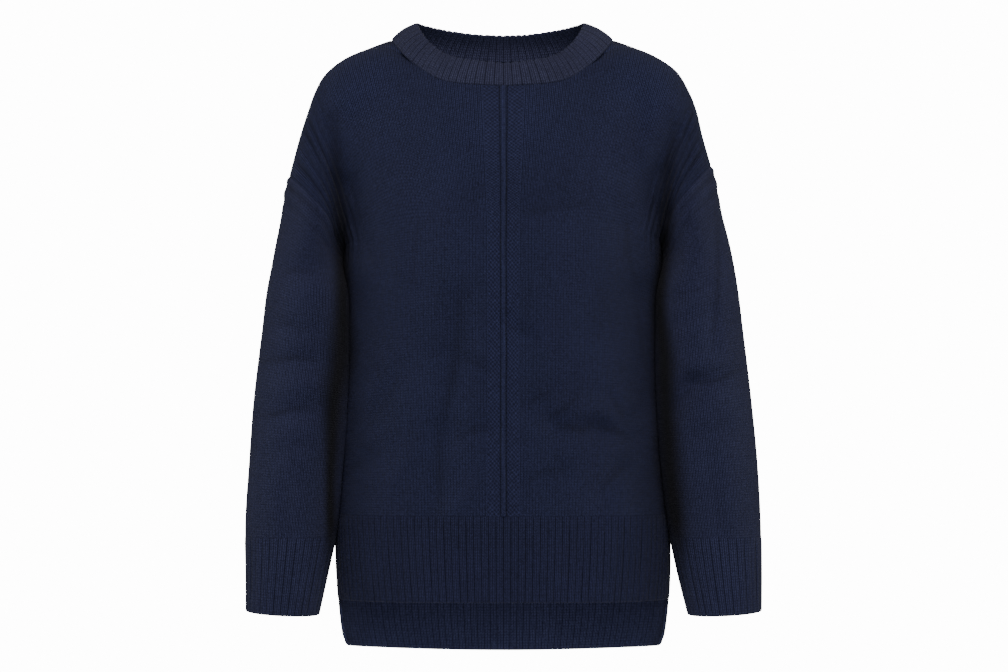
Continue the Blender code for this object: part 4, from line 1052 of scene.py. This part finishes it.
def stitch_group():
    """Height of stockinette stitches: two slanting legs to a stitch, in columns along V."""
    group, start, end = new_group(
        "stitches",
        [("UV", "NodeSocketVector", None), ("Wale", "NodeSocketFloat", WALE),
         ("Course", "NodeSocketFloat", COURSE)],
        ["Height", "Groove"])
    split = group.nodes.new("ShaderNodeSeparateXYZ")
    group.links.new(start.outputs["UV"], split.inputs[0])
    across = compute(group, "DIVIDE", split.outputs[0], start.outputs["Wale"])
    along = compute(group, "DIVIDE", split.outputs[1], start.outputs["Course"])
    leg = compute(group, "PINGPONG", across, 0.5)
    leg = compute(group, "MULTIPLY", leg, 2.0)
    cord = compute(group, "SINE", compute(group, "MULTIPLY", leg, math.pi))
    cord = compute(group, "POWER", compute(group, "MAXIMUM", cord, 0.0), STITCH_ROUND)
    slant = compute(group, "SUBTRACT", along, compute(group, "MULTIPLY", leg, LEG_SLANT))
    wave = compute(group, "SINE", compute(group, "MULTIPLY", slant, 2.0 * math.pi))
    wave = compute(group, "MULTIPLY_ADD", wave, 0.5, 0.5)
    wave = compute(group, "POWER", wave, STITCH_ROUND)
    side = compute(group, "MINIMUM", compute(group, "MULTIPLY", leg, 2.4), 1.0)
    side = compute(group, "MULTIPLY_ADD", side, 0.60, 0.40)
    height = compute(group, "MULTIPLY", cord, compute(group, "MULTIPLY_ADD", wave, 0.5, 0.5))
    height = compute(group, "MULTIPLY", height, side)
    group.links.new(height, end.inputs["Height"])
    # Groove is 0 in the groove between two ribs and 1 on them; it only drives painted shade in the yarn's
    # colour.
    pair = compute(group, "PINGPONG", compute(group, "MULTIPLY", across, 0.5), 0.5)
    groove = compute(group, "MINIMUM", compute(group, "DIVIDE", pair, 0.16), 1.0)
    group.links.new(compute(group, "SMOOTH_MIN", groove, 1.0, 0.3), end.inputs["Groove"])
    return group


def seed_group():
    """Knots of seed stitch on both sides of the centre rib, and where they and the rib show."""
    group, start, end = new_group(
        "seed_stitch", [("UV", "NodeSocketVector", None)], ["Height", "Mask", "Rib"])
    noise = group.nodes.new("ShaderNodeTexNoise")
    scale, reach = KNOT_NOISE
    noise.inputs["Scale"].default_value = scale
    group.links.new(start.outputs["UV"], noise.inputs["Vector"])
    shift = compute(group, "MULTIPLY_ADD", noise.outputs["Fac"], reach, -reach / 2.0)
    split = group.nodes.new("ShaderNodeSeparateXYZ")
    group.links.new(start.outputs["UV"], split.inputs[0])
    waves = []
    for place in (split.outputs[0], split.outputs[1]):
        angle = compute(group, "MULTIPLY_ADD", place, math.pi / SEED, shift)
        waves.append(compute(group, "SINE", angle))
    knots = compute(group, "MULTIPLY", *waves)
    group.links.new(compute(group, "MULTIPLY_ADD", knots, *KNOTS), end.inputs["Height"])
    off = compute(group, "ABSOLUTE", split.outputs[0])
    begun = compute(group, "GREATER_THAN", off, SEED_BAND[0])
    mask = compute(group, "MULTIPLY", begun, compute(group, "LESS_THAN", off, SEED_BAND[1]))
    group.links.new(mask, end.inputs["Mask"])
    group.links.new(compute(group, "LESS_THAN", off, CHAIN_EDGE), end.inputs["Rib"])
    return group


def fibre_group():
    """Fuzz and flecks of the yarn, and slow unevenness of its dye, in object space."""
    group, start, end = new_group(
        "fibres", [("Place", "NodeSocketVector", None)], [row[0] for row in FIBRES["rows"]])
    for socket, scale, detail, rough in FIBRES["rows"]:
        noise = group.nodes.new("ShaderNodeTexNoise")
        noise.inputs["Scale"].default_value = scale
        noise.inputs["Detail"].default_value = detail
        noise.inputs["Roughness"].default_value = rough
        group.links.new(start.outputs["Place"], noise.inputs["Vector"])
        group.links.new(noise.outputs["Fac"], end.inputs[socket])
    return group


def blend(tree, factor, first, second):
    """A Mix node between two numbers; each value is a number or another node's output."""
    node = tree.nodes.new("ShaderNodeMix")
    for socket, value in (("Factor", factor), ("A", first), ("B", second)):
        if isinstance(value, (int, float)):
            node.inputs[socket].default_value = value
        else:
            tree.links.new(value, node.inputs[socket])
    return node.outputs["Result"]


def add_group(tree, group, socket, source):
    """Places a node group in a material, with one of its inputs fed by another node's output."""
    node = tree.nodes.new("ShaderNodeGroup")
    node.node_tree = group
    tree.links.new(source, node.inputs[socket])
    return node


def yarn_material(name, tint, stitches, fibres, seed=None):
    """Yarn of one of YARNS, knitted in stockinette or ribs, or in seed stitch where that shows."""
    dark, light = YARNS[tint]
    ribbed = tint in RIBBED
    material = bpy.data.materials.new(name)
    material.use_nodes = True
    tree = material.node_tree
    shader = tree.nodes["Principled BSDF"]
    shader.inputs["Roughness"].default_value = ROUGHNESS
    shader.inputs["Specular IOR Level"].default_value = SPECULAR
    shader.inputs["Sheen Weight"].default_value = SHEEN
    shader.inputs["Sheen Roughness"].default_value = SHEEN_ROUGHNESS
    shader.inputs["Sheen Tint"].default_value = SHEEN_TINT
    uv = tree.nodes.new("ShaderNodeUVMap")
    uv.uv_map = "stitches"
    knit = add_group(tree, stitches, "UV", uv.outputs["UV"])
    knit.inputs["Course"].default_value = RIB_COURSE if ribbed else COURSE
    where = tree.nodes.new("ShaderNodeTexCoord")
    yarn = add_group(tree, fibres, "Place", where.outputs["Object"])
    height = knit.outputs["Height"]
    if seed is not None:
        knots = add_group(tree, seed, "UV", uv.outputs["UV"])
        height = blend(tree, knots.outputs["Mask"], height, knots.outputs["Height"])
        chain = compute(tree, "MULTIPLY_ADD", knit.outputs["Height"], *CHAIN)
        height = blend(tree, knots.outputs["Rib"], height, chain)
    # Painted shade: random flecks and dye, times darker stitch hollows and rib grooves that stand in for
    # their shade.
    fleck_tone_and_painted_shade = compute(tree, "MULTIPLY_ADD", yarn.outputs["Fleck"], FLECKS, 0.5 - FLECKS / 2.0)
    fleck_tone_and_painted_shade = compute(tree, "ADD", fleck_tone_and_painted_shade, compute(tree, "MULTIPLY_ADD", yarn.outputs["Dye"], DYE, -DYE / 2.0))
    fleck_tone_and_painted_shade = compute(tree, "MULTIPLY", fleck_tone_and_painted_shade, compute(tree, "MULTIPLY_ADD", height, *STITCH_PAINTED_SHADE))
    if ribbed:
        soft = compute(tree, "MULTIPLY_ADD", knit.outputs["Groove"], *RIB_GROOVE_PAINTED_SHADE)
        fleck_tone_and_painted_shade = compute(tree, "MULTIPLY", fleck_tone_and_painted_shade, soft)
    mix = tree.nodes.new("ShaderNodeMix")
    mix.data_type = "RGBA"
    mix.inputs["A"].default_value = (*dark, 1.0)
    mix.inputs["B"].default_value = (*light, 1.0)
    tree.links.new(fleck_tone_and_painted_shade, mix.inputs["Factor"])
    # Painted shade: the shade attribute darkens the yarn toward a near-black colour in folds, creases,
    # grooves and on the outer side of the neckband and back hem.
    fold = tree.nodes.new("ShaderNodeAttribute")
    fold.attribute_name = "shade"
    deep = tree.nodes.new("ShaderNodeMix")
    deep.data_type = "RGBA"
    deep.inputs["B"].default_value = (*DEEPEST_PAINTED_SHADE, 1.0)
    tree.links.new(compute(tree, "MULTIPLY", fold.outputs["Fac"], FOLD_SHADE), deep.inputs["Factor"])
    tree.links.new(mix.outputs["Result"], deep.inputs["A"])
    tree.links.new(deep.outputs["Result"], shader.inputs["Base Color"])
    height = compute(tree, "MULTIPLY_ADD", yarn.outputs["Fuzz"], FUZZ, height)
    bump = tree.nodes.new("ShaderNodeBump")
    bump.inputs["Strength"].default_value = 1.0
    bump.inputs["Distance"].default_value = STITCH_DEPTH["ribbed" if ribbed else "plain"]
    tree.links.new(height, bump.inputs["Height"])
    tree.links.new(bump.outputs["Normal"], shader.inputs["Normal"])
    material.diffuse_color = (*light, 1.0)
    return material


# ---- light and surroundings ----------------------------------------------------------------
def area_light(name, place, size, watts, colour):
    """A rectangular light that points at the sweater."""
    data = bpy.data.lights.new(name, "AREA")
    data.shape = "RECTANGLE"
    data.size = size[0]
    data.size_y = size[1]
    data.energy = watts
    data.color = colour
    lamp = bpy.data.objects.new(name, data)
    lamp.location = place
    aim = np.array(LIT_PLACE) - np.array(place)
    yaw = math.atan2(aim[1], aim[0]) - math.pi / 2.0
    pitch = math.atan2(aim[2], math.hypot(aim[0], aim[1])) + math.pi / 2.0
    lamp.rotation_euler = (pitch, 0.0, yaw)
    bpy.context.scene.collection.objects.link(lamp)


def build_world():
    """A white backdrop for the camera, which lights the cloth only a little."""
    world = bpy.data.worlds.new("studio")
    bpy.context.scene.world = world
    world.use_nodes = True
    tree = world.node_tree
    shade = tree.nodes["Background"]
    shade.inputs["Color"].default_value = (1.0, 1.0, 1.0, 1.0)
    path = tree.nodes.new("ShaderNodeLightPath")
    strength = tree.nodes.new("ShaderNodeMath")
    strength.operation = "MULTIPLY_ADD"
    strength.inputs[1].default_value = BACKDROP - AMBIENT
    strength.inputs[2].default_value = AMBIENT
    tree.links.new(path.outputs["Is Camera Ray"], strength.inputs[0])
    tree.links.new(strength.outputs[0], shade.inputs["Strength"])


def build_floor():
    """Plain pale floor, well below the sweater."""
    mesh = bpy.data.meshes.new("floor")
    side = FLOOR_SIDE
    corners = [(-side, -side), (side, -side), (side, side * 0.5), (-side, side * 0.5)]
    mesh.from_pydata([(x, y, FLOOR) for x, y in corners], [], [(0, 1, 2, 3)])
    material = bpy.data.materials.new("floor")
    material.use_nodes = True
    shader = material.node_tree.nodes["Principled BSDF"]
    shader.inputs["Base Color"].default_value = (FLOOR_GREY, FLOOR_GREY, FLOOR_GREY, 1.0)
    shader.inputs["Roughness"].default_value = FLOOR_ROUGHNESS
    mesh.materials.append(material)
    floor = bpy.data.objects.new("floor", mesh)
    bpy.context.scene.collection.objects.link(floor)


def main():
    groups = (stitch_group(), fibre_group())
    seed = seed_group()
    front_yarn = yarn_material("front_yarn", "panel", *groups, seed)
    yarns = {tint: yarn_material(tint + "_yarn", tint, *groups) for tint in YARNS}
    front = build_panel("front")
    back = build_panel("back")
    band = build_band()
    sleeves = {side: build_sleeve(side) for side in SIGN}
    hems = {face: build_hem(face) for face in FACE}
    cuffs = {side: build_cuff(side) for side in SIGN}
    finish_piece(front, "front_panel", front_yarn)
    finish_piece(back, "back_panel", yarns["panel"])
    finish_piece(band, "neckband", yarns["band"])
    for side in SIGN:
        finish_piece(sleeves[side], side + "_sleeve", yarns["sleeve"])
        finish_piece(cuffs[side], side + "_cuff", yarns["cuff"])
    finish_piece(hems["front"], "front_hem_rib", yarns["rib"])
    finish_piece(hems["back"], "back_hem_rib", yarns["back_hem"])
    build_world()
    build_floor()
    for light in LIGHTS["rows"]:
        area_light(*light)


main()
